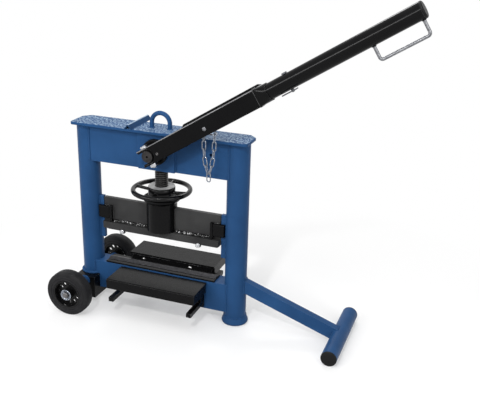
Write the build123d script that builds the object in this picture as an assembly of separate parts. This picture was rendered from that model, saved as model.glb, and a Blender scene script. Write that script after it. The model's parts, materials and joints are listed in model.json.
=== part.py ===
from build123d import *
import math
import os

os.makedirs("parts", exist_ok=True)

# Sizes in mm. While a piece is drawn, the spindle axis is at x = 0, y = 0 and the floor at z = 0.
# Minus Y is the lever side. Every piece is moved along X at the end, to centre the whole part.

# Fits
WELD_ROOM = 0.15       # room left between welded or coped faces
RUNNING_ROOM = 0.06    # radial room of a turning fit
SLIDE_ROOM = 0.4       # room on each side of a sliding face
HOLE_ROOM = 0.3        # radial room of a bolt in its hole
BAR_SIDES = 12         # sides that stand for the round of a bent bar
WIRE_SIDES = 6         # sides that stand for the round of a wire

# Portal frame
POST_X = 220           # from the spindle axis to each post axis
POST_R = 30
POST_WALL = 5
TOP_Z = 526
TOP_T = 8
TOP_LEFT_OVERHANG = 0  # of the top plate, past the outer side of each post
TOP_RIGHT_OVERHANG = 6
TOP_HALF_Y = 43.5
TOP_CLIP = 19.5
TOP_ROUND = 3
TOP_FRONT_ROUND = 9
BEAM_BOTTOM_Z = 418
BEAM_HALF_Y = 25
BEAM_T = 7
BEARING_HALF_X = 53
BEARING_T = 7
LOCK_HOLE_X = 152.5
LOCK_HOLE_Z = 479
LOCK_HOLE_R = 4.2
EYE_HALF_X = 26
EYE_BAR_R = 6
EYE_H = 47
REST_X = -74
REST_HALF_X = 11.5
REST_H = 14
REST_T = 3
REST_RIDGE_R = 3.5
REST_FRONT_Y = -46
REST_BACK_Y = 72

# Lower beam, knives and guide rails
LOWER_BEAM_BOTTOM_Z = 34
LOWER_BEAM_TOP_Z = 118
LOWER_BEAM_WALL = 5
BED_T = 5
BED_PROUD = 1          # of the knife bed past each end of the knife
KNIFE_END_ROOM = 12    # from each end of a knife to the guide rail
LOWER_KNIFE_HALF_Y = 12
LOWER_KNIFE_EDGE_H = 1.5
LOWER_KNIFE_H = 5.5
RAIL_W = 13
RAIL_BOTTOM_Z = 187
RAIL_TOP_Z = 312

# Wheels and axle
WHEEL_R = 64
WHEEL_IN_Y = 118
WHEEL_W = 37
TYRE_BORE_R = 41
TYRE_SHOULDER_R = 7
TYRE_SHOULDER_STEPS = 3
RIM_BED_T = 4
RIM_DISC_T = 6
RIM_HUB_R = 15
RIM_SLOT_IN_R = 23
RIM_SLOT_OUT_R = 32
RIM_SLOTS = 12
RIM_SLOT_ANGLE = 17
RIM_SLOT_CHAMFER = 1.5
AXLE_R = 8
AXLE_PROUD = 3.6       # past the washer
AXLE_CHAMFER = 1
CARRIER_HALF_X = 30
CARRIER_HALF_Y = 55
CARRIER_UNDER = 52     # below and above the axle
CARRIER_OVER = 12.5
CARRIER_WALL = 4
CARRIER_END_T = 8
SLEEVE_R = 13
WASHER_R = 16
WASHER_T = 3

# Feet and support leg
FOOT_FLARE = 6.5       # of the foot past the post
FOOT_H = 21
FOOT_LOW_ROUND = 5
FOOT_RIM_H = 8
FOOT_TOP_LEDGE = 1
FOOT_SPIGOT_H = 20
LEG_H = 35
LEG_W = 22
LEG_WALL = 3
LEG_POST_Z = 124
FOOT_TUBE_OUT = 297.6  # from the right post axis
FOOT_TUBE_R = 21.2
FOOT_TUBE_WALL = 3
FOOT_TUBE_HALF_Y = 122
FOOT_CAP_T = 4
FOOT_CAP_SPIGOT = 14

# Eccentric shaft and yoke
SHAFT_Z = 471
JOURNAL_R = 18
BUSH_WALL = 5
ECCENTRIC_R = 27
ECCENTRIC_E = 8
CRANK_REST_DEG = 7.5
CRANK_SLOPE = 0.948    # mean rise of the eccentric per radian of turn, over its working swing
SHAFT_END_R = 15
SHAFT_PROUD = 3        # past the lever's front
SHAFT_CENTRE_HOLE_R = 3
SHAFT_CENTRE_HOLE_L = 6
COLLAR_R = 35
COLLAR_L = 11.5
COLLAR_CHAMFER = 1.5
YOKE_HALF_X = 47
YOKE_TOP_WALL = 10
YOKE_BOTTOM_WALL = 24
YOKE_LIFT_ROOM = 0.4   # room above and below the eccentric in its window
YOKE_SIDE_ROOM = 1.5
YOKE_ROUND = 8
GUIDE_BLOCK_W = 14
GUIDE_BLOCK_INSET = 6  # from the top and bottom of the beam plates

# Spindle, handwheel and barrel
SPINDLE_R = 18
SPINDLE_RISE = 39      # from the carriage base to the spindle's end
SPINDLE_NECK_DROP = 6  # of the neck below the beam plates
SPINDLE_SPIGOT_R = 12
SPINDLE_SPIGOT_L = 20
SPINDLE_CHAMFER = 2
BARREL_R = 42
BARREL_H = 81
BARREL_WALL = 5.6
BARREL_BORE_ROOM = 1.5
HUB_FLANGE_T = 9.6
HUB_NECK_WALL = 3.75
HUB_R = 37
HUB_H = 29             # from the barrel collar
BARREL_COLLAR_W = 9    # past the barrel
BARREL_COLLAR_H = 13
BARREL_COLLAR_LEDGE = 1
BARREL_COLLAR_TAPER_H = 8
RIM_CENTRE_R = 77
RIM_BAR_R = 6.5
RIM_DROP = 9           # below the hub's top
SPOKES = 4
SPOKE_R = 4.6
SPOKE_DROP = 13
NUT_WALL = 6
NUT_FLANGE_R = 36.5
NUT_FLANGE_T = 3

# Pressing carriage
WEB_END_ROOM = 2       # from each end of the web to the guide rail
WEB_T = 12
WEB_H = 69
BASE_TOP_Z = 241
BASE_T = 18.5
BASE_HALF_Y = 20
BASE_ROUND = 4
CHEEK_LAP = 22         # on the web, from the guide rail inward
CHEEK_END_ROOM = 1     # to the post
CHEEK_T = 10
CHEEK_RISE = 9
CHEEK_H = 36
CHEEK_CHAMFER = 2
RIB_W = 7
RIB_H = 47
UPPER_KNIFE_SIDE_H = 5
UPPER_KNIFE_H = 11.5
EAR_X = 115
EAR_HALF_X = 7
EAR_T = 8
EAR_H = 9
KNIFE_BOLT_R = 3
KNIFE_BOLT_FLATS = 10
KNIFE_BOLT_HEAD_H = 4

# Support tables
FRONT_TABLE_DROP = 3   # from the lower beam's top
REAR_TABLE_RISE = 20
TABLE_LEFT_X = 116
TABLE_RIGHT_X = 145
TABLE_BEAM_ROOM = 2
TABLE_DEPTH = 88
TABLE_T = 5
TABLE_LIP_H = 28
TABLE_BEND_R = 4
TABLE_BACK_T = 7
TABLE_BACK_DROP = 75
TABLE_SLOT_X = 72
TABLE_SLOT_TOP_DROP = 11.7
TABLE_SLOT_BOTTOM_DROP = 66.3
TABLE_ARM_INSET = 7     # from each end of the table to the arm's outer side
TABLE_ARM_W = 14
TABLE_ARM_DEPTH = 18
TABLE_ARM_UPPER_H = 16
TABLE_ARM_LOWER_H = 12
TABLE_ARM_LOWER_DROP = 65
TABLE_ARM_PROUD = 3
TABLE_ARM_ROUND = 13
CLAMP_BOLT_DROP = 30
CLAMP_STUD_R = 6
CLAMP_WASHER_R = 12
CLAMP_WASHER_T = 2.5
CLAMP_NUT_FLATS = 18
CLAMP_NUT_H = 9
CLAMP_STUD_PROUD = 2

# Lever: s runs along it from the shaft axis, t is square to it and points up, y is across it
LEVER_DEG = 32.2
LEVER_ROOM = 1.1       # from the front shaft collar to the channel
CHANNEL_W = 36
CHANNEL_HALF_T = 23
CHANNEL_WALL = 4
CHANNEL_TAIL_S = -24
CHANNEL_END_S = 340
CHANNEL_BEND_R = 4
PACKING_END_S = 32
CHAIN_SLOT_BEHIND = 65.6   # from the chain bolt to each end of the slot
CHAIN_SLOT_AHEAD = 40.4
CHAIN_SLOT_W = 17
SOCKET_L = 32
SOCKET_LEDGE = 2.5     # of the socket past the tube
SOCKET_LIP_L = 8
STUB_L = 98
TUBE_R = 20
TUBE_WALL = 3
TUBE_L = 390           # from the socket
PLUG_L = 6
PLUG_SPIGOT_L = 18
PLUG_CHAMFER = 2.5
LOOP_INSET = 6         # from the tube's end
LOOP_L = 119
LOOP_DROP = 54.5
LOOP_BAR_R = 4
LOOP_BEND_R = 7
PIN_OUT = 52           # from the socket
PIN_R = 4
PIN_HEAD_R = 7
PIN_HEAD_H = 3.5
PIN_TIP = 2.2          # past the clip
CLIP_WIRE_R = 1.4
CLIP_ROOM = 2          # from the tube
CLIP_BEHIND = 29       # from the pin to each end of the clip
CLIP_AHEAD = 14
CLIP_HALF_W = 5.5
CLAMP_S = -6
CLAMP_BOLT_R = 5
CLAMP_HEAD_FLATS = 17
CLAMP_HEAD_H = 6.4
CLAMP_BOLT_NUT_H = 8
CLAMP_BOLT_PROUD = 3
CHAIN_BOLT_S = 181.6
CHAIN_BOLT_T = -5.2
CHAIN_BOLT_R = 4
CHAIN_BOLT_FLATS = 11
CHAIN_BOLT_HEAD_H = 5
CHAIN_BOLT_L = 25

# Chain: its two strands hang from a ring on the chain bolt and meet in one end link
CHAIN_IN = 13          # from the lever's front
LINK_WIRE_R = 1.4
LINK_PITCH = 21.2
LINK_GAP = 0.3
LINK_INNER_W = 6.6
LEFT_STRAND_DEG = (0.5, 1, 4, 10, 17)
RIGHT_STRAND_DEG = (0.5, 2, 6, 10, 15)
RING_WIRE_R = 2.2
RING_DROP = 16
RING_CORNER_R = 3
RING_SIDE_ROOM = 12
STRAND_MEET_OUT = 7.8604   # from the chain bolt
STRAND_BAR_GAP = 0.4

# Sizes that follow from the ones above
TOP_UNDER_Z = TOP_Z - TOP_T
BEAM_IN_Y = BEAM_HALF_Y - BEAM_T
BEARING_FRONT_Y = BEAM_HALF_Y + BEARING_T
POST_IN_X = POST_X - POST_R
TOP_LEFT_X = POST_X + POST_R + TOP_LEFT_OVERHANG
TOP_RIGHT_X = POST_X + POST_R + TOP_RIGHT_OVERHANG
EYE_TOP_Z = TOP_Z + EYE_H
GUIDE_BLOCK_BOTTOM_Z = BEAM_BOTTOM_Z + GUIDE_BLOCK_INSET
GUIDE_BLOCK_TOP_Z = TOP_UNDER_Z - GUIDE_BLOCK_INSET
BUSH_R = JOURNAL_R + BUSH_WALL
BED_TOP_Z = LOWER_BEAM_TOP_Z + BED_T
RAIL_IN_X = POST_IN_X - RAIL_W
RAIL_T = WEB_T - 2 * SLIDE_ROOM
KNIFE_HALF_X = RAIL_IN_X - KNIFE_END_ROOM
BED_HALF_X = KNIFE_HALF_X + BED_PROUD
WHEEL_OUT_Y = WHEEL_IN_Y + WHEEL_W
AXLE_HALF_Y = WHEEL_OUT_Y + SLIDE_ROOM + WASHER_T + AXLE_PROUD
CARRIER_BOTTOM_Z = WHEEL_R - CARRIER_UNDER
CARRIER_TOP_Z = WHEEL_R + CARRIER_OVER
FOOT_R = POST_R + FOOT_FLARE
FOOT_TOP_R = POST_R + FOOT_TOP_LEDGE
FOOT_TUBE_X = POST_X + FOOT_TUBE_OUT
BASE_BOTTOM_Z = BASE_TOP_Z - BASE_T
WEB_HALF_X = RAIL_IN_X - WEB_END_ROOM
WEB_TOP_Z = BASE_TOP_Z + WEB_H
CHEEK_IN_X = RAIL_IN_X - CHEEK_LAP
CHEEK_OUT_X = POST_IN_X - CHEEK_END_ROOM
CHEEK_BOTTOM_Z = BASE_TOP_Z + CHEEK_RISE
CHEEK_TOP_Z = CHEEK_BOTTOM_Z + CHEEK_H
RIB_TOP_Z = BASE_TOP_Z + RIB_H
SPINDLE_BOTTOM_Z = BASE_TOP_Z + SPINDLE_RISE
NUT_R = SPINDLE_R + NUT_WALL
HUB_NECK_R = NUT_R + WELD_ROOM + HUB_NECK_WALL
HUB_FLANGE_R = BARREL_R - BARREL_WALL - SLIDE_ROOM
BARREL_TOP_Z = BASE_TOP_Z + BARREL_H
BARREL_BORE_R = SPINDLE_R + BARREL_BORE_ROOM
BARREL_COLLAR_R = BARREL_R + BARREL_COLLAR_W
BARREL_COLLAR_FOOT_R = BARREL_R + BARREL_COLLAR_LEDGE
BARREL_COLLAR_TOP_Z = BARREL_TOP_Z + BARREL_COLLAR_H
HUB_TOP_Z = BARREL_COLLAR_TOP_Z + HUB_H
RIM_Z = HUB_TOP_Z - RIM_DROP
SPOKE_HUB_Z = HUB_TOP_Z - SPOKE_DROP
FRONT_TABLE_Z = LOWER_BEAM_TOP_Z - FRONT_TABLE_DROP
REAR_TABLE_Z = LOWER_BEAM_TOP_Z + REAR_TABLE_RISE
TABLE_IN_Y = BEAM_HALF_Y + TABLE_BEAM_ROOM
TABLE_OUT_Y = TABLE_IN_Y + TABLE_DEPTH
TABLE_ARM_TIP_Y = TABLE_OUT_Y + TABLE_ARM_PROUD
CLAMP_BOLT_Z = LOWER_BEAM_TOP_Z - CLAMP_BOLT_DROP
LEVER_RAD = math.radians(LEVER_DEG)
CHANNEL_BACK_Y = -(BEARING_FRONT_Y + SLIDE_ROOM + COLLAR_L + LEVER_ROOM)
CHANNEL_FRONT_Y = CHANNEL_BACK_Y - CHANNEL_W
CHANNEL_MID_Y = (CHANNEL_FRONT_Y + CHANNEL_BACK_Y) / 2
SHAFT_FRONT_Y = CHANNEL_FRONT_Y - SHAFT_PROUD
CHAIN_SLOT_START_S = CHAIN_BOLT_S - CHAIN_SLOT_BEHIND
CHAIN_SLOT_END_S = CHAIN_BOLT_S + CHAIN_SLOT_AHEAD
CHAIN_BOLT_END_Y = CHANNEL_FRONT_Y + CHAIN_BOLT_L
CHAIN_Y = CHANNEL_FRONT_Y + CHAIN_IN
SOCKET_END_S = CHANNEL_END_S + SOCKET_L
SOCKET_END_R = TUBE_R + SOCKET_LEDGE
STUB_END_S = SOCKET_END_S + STUB_L
TUBE_END_S = SOCKET_END_S + TUBE_L
LOOP_FAR_S = TUBE_END_S - LOOP_INSET
LOOP_NEAR_S = LOOP_FAR_S - LOOP_L
PIN_S = SOCKET_END_S + PIN_OUT
CLIP_DROP = TUBE_R + CLIP_WIRE_R + CLIP_ROOM
CLIP_NEAR_S = PIN_S - CLIP_BEHIND
CLIP_FAR_S = PIN_S + CLIP_AHEAD
PIN_DROP = CLIP_DROP + CLIP_WIRE_R + PIN_TIP
TUBE_BORE_R = TUBE_R - TUBE_WALL
STUB_R = TUBE_BORE_R - WELD_ROOM
CRANK_REST = math.radians(CRANK_REST_DEG)
ECCENTRIC_X = ECCENTRIC_E * math.cos(CRANK_REST)
ECCENTRIC_Z = SHAFT_Z + ECCENTRIC_E * math.sin(CRANK_REST)
WINDOW_Z = SHAFT_Z + ECCENTRIC_E * CRANK_SLOPE * CRANK_REST
WINDOW_HALF_Z = ECCENTRIC_R + YOKE_LIFT_ROOM
WINDOW_HALF_X = ECCENTRIC_R + ECCENTRIC_E + YOKE_SIDE_ROOM
YOKE_BOTTOM_Z = WINDOW_Z - WINDOW_HALF_Z - YOKE_BOTTOM_WALL
YOKE_TOP_Z = WINDOW_Z + WINDOW_HALF_Z + YOKE_TOP_WALL
LOOP_CORNER_S = LOOP_FAR_S - LOOP_BEND_R
LOOP_CORNER_T = LOOP_BEND_R - LOOP_DROP
RIGHT_END_X = (LOOP_CORNER_S * math.cos(LEVER_RAD) - LOOP_CORNER_T * math.sin(LEVER_RAD)
               + LOOP_BEND_R + LOOP_BAR_R)
LEFT_END_X = -POST_X - WHEEL_R
MID_X = (RIGHT_END_X + LEFT_END_X) / 2


def block(x0, x1, y0, y1, z0, z1):
    return Pos((x0 + x1) / 2, (y0 + y1) / 2, (z0 + z1) / 2) * Box(x1 - x0, y1 - y0, z1 - z0)


def rod_y(radius, y0, y1, x=0, z=0):
    return Pos(x, (y0 + y1) / 2, z) * Rot(90, 0, 0) * Cylinder(radius, y1 - y0)


def rod_z(radius, z0, z1, x=0, y=0):
    return Pos(x, y, (z0 + z1) / 2) * Cylinder(radius, z1 - z0)


def rod_x(radius, x0, x1, y=0, z=0):
    return Pos((x0 + x1) / 2, y, z) * Rot(0, 90, 0) * Cylinder(radius, x1 - x0)


def across_y(sketch, y0, y1):
    """A sketch whose x and y are world X and Z, from y0 to y1."""
    flat = Plane((0, y1, 0), x_dir=(1, 0, 0), z_dir=(0, -1, 0)) * sketch
    return extrude(flat, amount=y1 - y0, dir=(0, -1, 0))


def across_x(sketch, x0, x1):
    """A sketch whose x and y are world Y and Z, from x0 to x1."""
    flat = Plane((x0, 0, 0), x_dir=(0, 1, 0), z_dir=(1, 0, 0)) * sketch
    return extrude(flat, amount=x1 - x0, dir=(1, 0, 0))


def across_z(sketch, z0, z1):
    return extrude(Pos(0, 0, z0) * sketch, amount=z1 - z0, dir=(0, 0, 1))


def turned(points):
    """A body turned round Z from (radius, z) points."""
    return revolve(Plane.XZ * Polygon(*points, align=None), Axis.Z)


def outline(*points):
    return Polygon(*points, align=None)


def rectangle(x0, x1, y0, y1):
    return Pos((x0 + x1) / 2, (y0 + y1) / 2) * Rectangle(x1 - x0, y1 - y0)


def bar_round(radius, sides):
    """A many-sided bar section with its corners on the round."""
    return RegularPolygon(radius, sides)


def hexagon(flats):
    return RegularPolygon(flats / 2, 6, major_radius=False)


def posts(radius):
    low, high = 0, TOP_Z
    return rod_z(radius, low, high, x=-POST_X) + rod_z(radius, low, high, x=POST_X)


def both_sides(shape):
    """The shape and its mirror image in the XZ plane."""
    return shape + mirror(shape, about=Plane.XZ)


def both_ends(shape):
    """The shape and its mirror image in the YZ plane."""
    return shape + mirror(shape, about=Plane.YZ)


def on_lever(shape):
    return Pos(0, 0, SHAFT_Z) * Rot(0, -LEVER_DEG, 0) * shape


def save(name, shape):
    export_step(Pos(-MID_X, 0, 0) * shape, f"parts/{name}.step")


# Posts and right foot
def post(x, bottom_z):
    bore_r = POST_R - POST_WALL
    return rod_z(POST_R, bottom_z, TOP_UNDER_Z, x=x) - rod_z(bore_r, bottom_z, TOP_UNDER_Z, x=x)


save("left_post", post(-POST_X, CARRIER_TOP_Z))
save("right_post", post(POST_X, FOOT_H))

foot_turn_r = FOOT_LOW_ROUND * (1 - math.sqrt(0.5))
foot = turned([(0, 0), (FOOT_R - FOOT_LOW_ROUND, 0), (FOOT_R - foot_turn_r, foot_turn_r),
               (FOOT_R, FOOT_LOW_ROUND), (FOOT_R, FOOT_RIM_H), (FOOT_TOP_R, FOOT_H), (0, FOOT_H)])
foot += rod_z(POST_R - POST_WALL - WELD_ROOM, FOOT_H, FOOT_H + FOOT_SPIGOT_H)
save("right_foot", Pos(POST_X, 0, 0) * foot)

# Top plate: rounded front corners, clipped rear corners
top_outline = outline((-TOP_LEFT_X, -TOP_HALF_Y), (TOP_RIGHT_X, -TOP_HALF_Y),
                      (TOP_RIGHT_X, TOP_HALF_Y - TOP_CLIP), (TOP_RIGHT_X - TOP_CLIP, TOP_HALF_Y),
                      (TOP_CLIP - TOP_LEFT_X, TOP_HALF_Y), (-TOP_LEFT_X, TOP_HALF_Y - TOP_CLIP))
top_outline = fillet(top_outline.vertices().group_by(Axis.Y)[0], TOP_FRONT_ROUND)
top_outline = fillet(top_outline.vertices().filter_by_position(Axis.Y, 0, TOP_HALF_Y), TOP_ROUND)
save("top_plate", across_z(top_outline, TOP_UNDER_Z, TOP_Z))

# Upper beam: two plates between the posts, each with an outer bearing plate and a shaft bush
beam_outline = rectangle(-POST_X, POST_X, BEAM_BOTTOM_Z, TOP_UNDER_Z)
bush_hole = Pos(0, SHAFT_Z) * Circle(BUSH_R + WELD_ROOM)
lock_hole = Pos(LOCK_HOLE_X, LOCK_HOLE_Z) * Circle(LOCK_HOLE_R)
front_beam = across_y(beam_outline - bush_hole - lock_hole, -BEAM_HALF_Y, -BEAM_IN_Y)
rear_beam = across_y(beam_outline - bush_hole, BEAM_IN_Y, BEAM_HALF_Y)
save("front_beam_plate", front_beam - posts(POST_R + WELD_ROOM))
save("rear_beam_plate", rear_beam - posts(POST_R + WELD_ROOM))

bearing_outline = rectangle(-BEARING_HALF_X, BEARING_HALF_X, BEAM_BOTTOM_Z, TOP_UNDER_Z) - bush_hole
save("front_bearing_plate", across_y(bearing_outline, -BEARING_FRONT_Y, -BEAM_HALF_Y))
save("rear_bearing_plate", across_y(bearing_outline, BEAM_HALF_Y, BEARING_FRONT_Y))

bush = (rod_y(BUSH_R, -BEARING_FRONT_Y, -BEAM_IN_Y, z=SHAFT_Z)
        - rod_y(JOURNAL_R + RUNNING_ROOM, -BEARING_FRONT_Y, -BEAM_IN_Y, z=SHAFT_Z))
save("shaft_bushes", both_sides(bush))

guide_in_x = YOKE_HALF_X + SLIDE_ROOM
guide_block = block(guide_in_x, guide_in_x + GUIDE_BLOCK_W, -BEAM_IN_Y, BEAM_IN_Y,
                    GUIDE_BLOCK_BOTTOM_Z, GUIDE_BLOCK_TOP_Z)
save("yoke_guides", both_ends(guide_block))

# Lifting eye and lever rest on the top plate
eye_bend_z = EYE_TOP_Z - EYE_BAR_R - EYE_HALF_X
eye_path = (Line((-EYE_HALF_X, 0, TOP_Z), (-EYE_HALF_X, 0, eye_bend_z))
            + ThreePointArc((-EYE_HALF_X, 0, eye_bend_z), (0, 0, EYE_TOP_Z - EYE_BAR_R),
                            (EYE_HALF_X, 0, eye_bend_z))
            + Line((EYE_HALF_X, 0, eye_bend_z), (EYE_HALF_X, 0, TOP_Z)))
save("crane_eye", sweep(Pos(-EYE_HALF_X, 0, TOP_Z) * bar_round(EYE_BAR_R, BAR_SIDES), path=eye_path))

rest_side = math.hypot(REST_HALF_X, REST_H)
rest_foot = REST_T * rest_side / REST_H
rest_ridge = REST_T * rest_side / REST_HALF_X
rest_outer = outline((-REST_HALF_X, 0), (REST_HALF_X, 0), (0, REST_H))
rest_outer = fillet(rest_outer.vertices().sort_by(Axis.Y)[-1:], REST_RIDGE_R)
rest_inner = outline((rest_foot - REST_HALF_X, 0), (REST_HALF_X - rest_foot, 0), (0, REST_H - rest_ridge))
save("lever_rest", Pos(REST_X, 0, TOP_Z) * across_y(rest_outer - rest_inner, REST_FRONT_Y, REST_BACK_Y))

# Lower beam with its knife bed, lower knife and guide rails
carrier_outer = block(-POST_X - CARRIER_HALF_X, CARRIER_HALF_X - POST_X, -CARRIER_HALF_Y, CARRIER_HALF_Y,
                      CARRIER_BOTTOM_Z, CARRIER_TOP_Z)
lower_beam = block(-POST_X, POST_X, -BEAM_HALF_Y, BEAM_HALF_Y, LOWER_BEAM_BOTTOM_Z, LOWER_BEAM_TOP_Z)
lower_beam -= block(-POST_X, POST_X, LOWER_BEAM_WALL - BEAM_HALF_Y, BEAM_HALF_Y - LOWER_BEAM_WALL,
                    LOWER_BEAM_BOTTOM_Z + LOWER_BEAM_WALL, LOWER_BEAM_TOP_Z - LOWER_BEAM_WALL)
save("lower_beam", lower_beam - posts(POST_R + WELD_ROOM) - carrier_outer)

save("knife_bed", block(-BED_HALF_X, BED_HALF_X, -BEAM_HALF_Y, BEAM_HALF_Y, LOWER_BEAM_TOP_Z, BED_TOP_Z))

lower_knife = outline((-LOWER_KNIFE_HALF_Y, 0), (LOWER_KNIFE_HALF_Y, 0),
                      (LOWER_KNIFE_HALF_Y, LOWER_KNIFE_EDGE_H), (0, LOWER_KNIFE_H),
                      (-LOWER_KNIFE_HALF_Y, LOWER_KNIFE_EDGE_H))
save("lower_knife", Pos(0, 0, BED_TOP_Z) * across_x(lower_knife, -KNIFE_HALF_X, KNIFE_HALF_X))

rail = block(RAIL_IN_X, POST_X, -RAIL_T / 2, RAIL_T / 2, RAIL_BOTTOM_Z, RAIL_TOP_Z)
save("guide_rails", both_ends(rail - posts(POST_R + WELD_ROOM)))

# Axle carrier, axle and wheels
axle_room = AXLE_R + WELD_ROOM
carrier_in_y = CARRIER_HALF_Y - CARRIER_END_T
carrier = carrier_outer - block(CARRIER_WALL - POST_X - CARRIER_HALF_X,
                                CARRIER_HALF_X - CARRIER_WALL - POST_X, -carrier_in_y, carrier_in_y,
                                CARRIER_BOTTOM_Z + CARRIER_WALL, CARRIER_TOP_Z - CARRIER_WALL)
save("axle_carrier", carrier - rod_y(axle_room, -CARRIER_HALF_Y, CARRIER_HALF_Y, x=-POST_X, z=WHEEL_R))

axle = rod_y(AXLE_R, -AXLE_HALF_Y, AXLE_HALF_Y, x=-POST_X, z=WHEEL_R)
save("axle", chamfer(axle.edges(), AXLE_CHAMFER))

sleeve_end_y = WHEEL_IN_Y - SLIDE_ROOM
sleeve = (rod_y(SLEEVE_R, CARRIER_HALF_Y, sleeve_end_y, x=-POST_X, z=WHEEL_R)
          - rod_y(axle_room, CARRIER_HALF_Y, sleeve_end_y, x=-POST_X, z=WHEEL_R))
save("axle_sleeves", both_sides(sleeve))

washer_y = WHEEL_OUT_Y + SLIDE_ROOM
washer = (rod_y(WASHER_R, washer_y, washer_y + WASHER_T, x=-POST_X, z=WHEEL_R)
          - rod_y(axle_room, washer_y, washer_y + WASHER_T, x=-POST_X, z=WHEEL_R))
save("hub_washers", both_sides(washer))

shoulder = []
for step in range(TYRE_SHOULDER_STEPS + 1):
    angle = math.radians(90 * step / TYRE_SHOULDER_STEPS)
    shoulder.append((WHEEL_R - TYRE_SHOULDER_R * (1 - math.sin(angle)),
                     TYRE_SHOULDER_R * (1 - math.cos(angle))))
far_shoulder = [(r, WHEEL_W - z) for r, z in reversed(shoulder)]
tyre = turned([(TYRE_BORE_R, 0)] + shoulder + far_shoulder + [(TYRE_BORE_R, WHEEL_W)])

rim_bed_r = TYRE_BORE_R - WELD_ROOM
rim_disc_low = (WHEEL_W - RIM_DISC_T) / 2
rim = turned([(AXLE_R + RUNNING_ROOM, 0), (RIM_HUB_R, 0), (RIM_HUB_R, rim_disc_low),
              (rim_bed_r - RIM_BED_T, rim_disc_low), (rim_bed_r - RIM_BED_T, 0), (rim_bed_r, 0),
              (rim_bed_r, WHEEL_W), (rim_bed_r - RIM_BED_T, WHEEL_W),
              (rim_bed_r - RIM_BED_T, rim_disc_low + RIM_DISC_T), (RIM_HUB_R, rim_disc_low + RIM_DISC_T),
              (RIM_HUB_R, WHEEL_W), (AXLE_R + RUNNING_ROOM, WHEEL_W)])
slot_tip = math.radians(RIM_SLOT_ANGLE / 2)
slot_in_x = RIM_SLOT_IN_R * math.cos(slot_tip)
slot_out_x = RIM_SLOT_OUT_R * math.cos(slot_tip)
slot_outline = outline((slot_in_x, -RIM_SLOT_IN_R * math.sin(slot_tip)),
                       (slot_out_x, -RIM_SLOT_OUT_R * math.sin(slot_tip)), (RIM_SLOT_OUT_R, 0),
                       (slot_out_x, RIM_SLOT_OUT_R * math.sin(slot_tip)),
                       (slot_in_x, RIM_SLOT_IN_R * math.sin(slot_tip)))
slot_outline = chamfer(slot_outline.vertices(), RIM_SLOT_CHAMFER)
slot = across_z(slot_outline, 0, WHEEL_W)
for turn in range(RIM_SLOTS):
    rim -= Rot(0, 0, turn * 360 / RIM_SLOTS) * slot

front_wheel_place = Pos(-POST_X, -WHEEL_IN_Y, WHEEL_R) * Rot(90, 0, 0)
rear_wheel_place = Pos(-POST_X, WHEEL_OUT_Y, WHEEL_R) * Rot(90, 0, 0)
save("front_tyre", front_wheel_place * tyre)
save("front_rim", front_wheel_place * rim)
save("rear_tyre", rear_wheel_place * tyre)
save("rear_rim", rear_wheel_place * rim)

# Support leg and foot tube
leg_run = FOOT_TUBE_X - POST_X
leg_fall = LEG_POST_Z - FOOT_TUBE_R
leg_length = math.hypot(leg_run, leg_fall)
leg_slope = math.degrees(math.atan2(leg_fall, leg_run))
leg_section = Rectangle(LEG_W, LEG_H) - Rectangle(LEG_W - 2 * LEG_WALL, LEG_H - 2 * LEG_WALL)
leg = Pos(POST_X, 0, LEG_POST_Z) * Rot(0, leg_slope, 0) * across_x(leg_section, 0, leg_length)
leg -= rod_z(POST_R + WELD_ROOM, 0, TOP_Z, x=POST_X)
leg -= rod_y(FOOT_TUBE_R + WELD_ROOM, -LEG_W, LEG_W, x=FOOT_TUBE_X, z=FOOT_TUBE_R)
save("support_leg", leg)

foot_bore_r = FOOT_TUBE_R - FOOT_TUBE_WALL
foot_tube = (rod_y(FOOT_TUBE_R, -FOOT_TUBE_HALF_Y, FOOT_TUBE_HALF_Y, x=FOOT_TUBE_X, z=FOOT_TUBE_R)
             - rod_y(foot_bore_r, -FOOT_TUBE_HALF_Y, FOOT_TUBE_HALF_Y, x=FOOT_TUBE_X, z=FOOT_TUBE_R))
save("foot_tube", foot_tube)

cap_spigot_r = foot_bore_r - WELD_ROOM
cap = turned([(0, -FOOT_CAP_SPIGOT), (cap_spigot_r, -FOOT_CAP_SPIGOT), (cap_spigot_r, 0), (FOOT_TUBE_R, 0),
              (FOOT_TUBE_R, FOOT_CAP_T / 2), (FOOT_TUBE_R - FOOT_CAP_T / 2, FOOT_CAP_T), (0, FOOT_CAP_T)])
cap_place = Pos(FOOT_TUBE_X, -FOOT_TUBE_HALF_Y, FOOT_TUBE_R) * Rot(90, 0, 0)
save("foot_tube_caps", both_sides(cap_place * cap))

# Eccentric shaft with its two collars
shaft = rod_y(ECCENTRIC_R, SLIDE_ROOM - BEAM_IN_Y, BEAM_IN_Y - SLIDE_ROOM, x=ECCENTRIC_X, z=ECCENTRIC_Z)
shaft += rod_y(JOURNAL_R, -BEARING_FRONT_Y, BEARING_FRONT_Y, z=SHAFT_Z)
shaft_rear_y = BEARING_FRONT_Y + SLIDE_ROOM + COLLAR_L
shaft += rod_y(SHAFT_END_R, SHAFT_FRONT_Y, shaft_rear_y, z=SHAFT_Z)
shaft -= rod_y(SHAFT_CENTRE_HOLE_R, SHAFT_FRONT_Y, SHAFT_FRONT_Y + SHAFT_CENTRE_HOLE_L, z=SHAFT_Z)
clamp_y = CHANNEL_MID_Y
clamp_hole = rod_z(CLAMP_BOLT_R + HOLE_ROOM, -CHANNEL_HALF_T, CHANNEL_HALF_T, x=CLAMP_S, y=clamp_y)
save("eccentric_shaft", shaft - on_lever(clamp_hole))

collar = Cylinder(COLLAR_R, COLLAR_L, align=(Align.CENTER, Align.CENTER, Align.MIN))
collar = chamfer(collar.edges().group_by(Axis.Z)[-1], COLLAR_CHAMFER)
collar -= rod_z(SHAFT_END_R + WELD_ROOM, 0, COLLAR_L)
collar = Pos(0, -BEARING_FRONT_Y - SLIDE_ROOM, SHAFT_Z) * Rot(90, 0, 0) * collar
save("shaft_collars", both_sides(collar))

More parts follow.
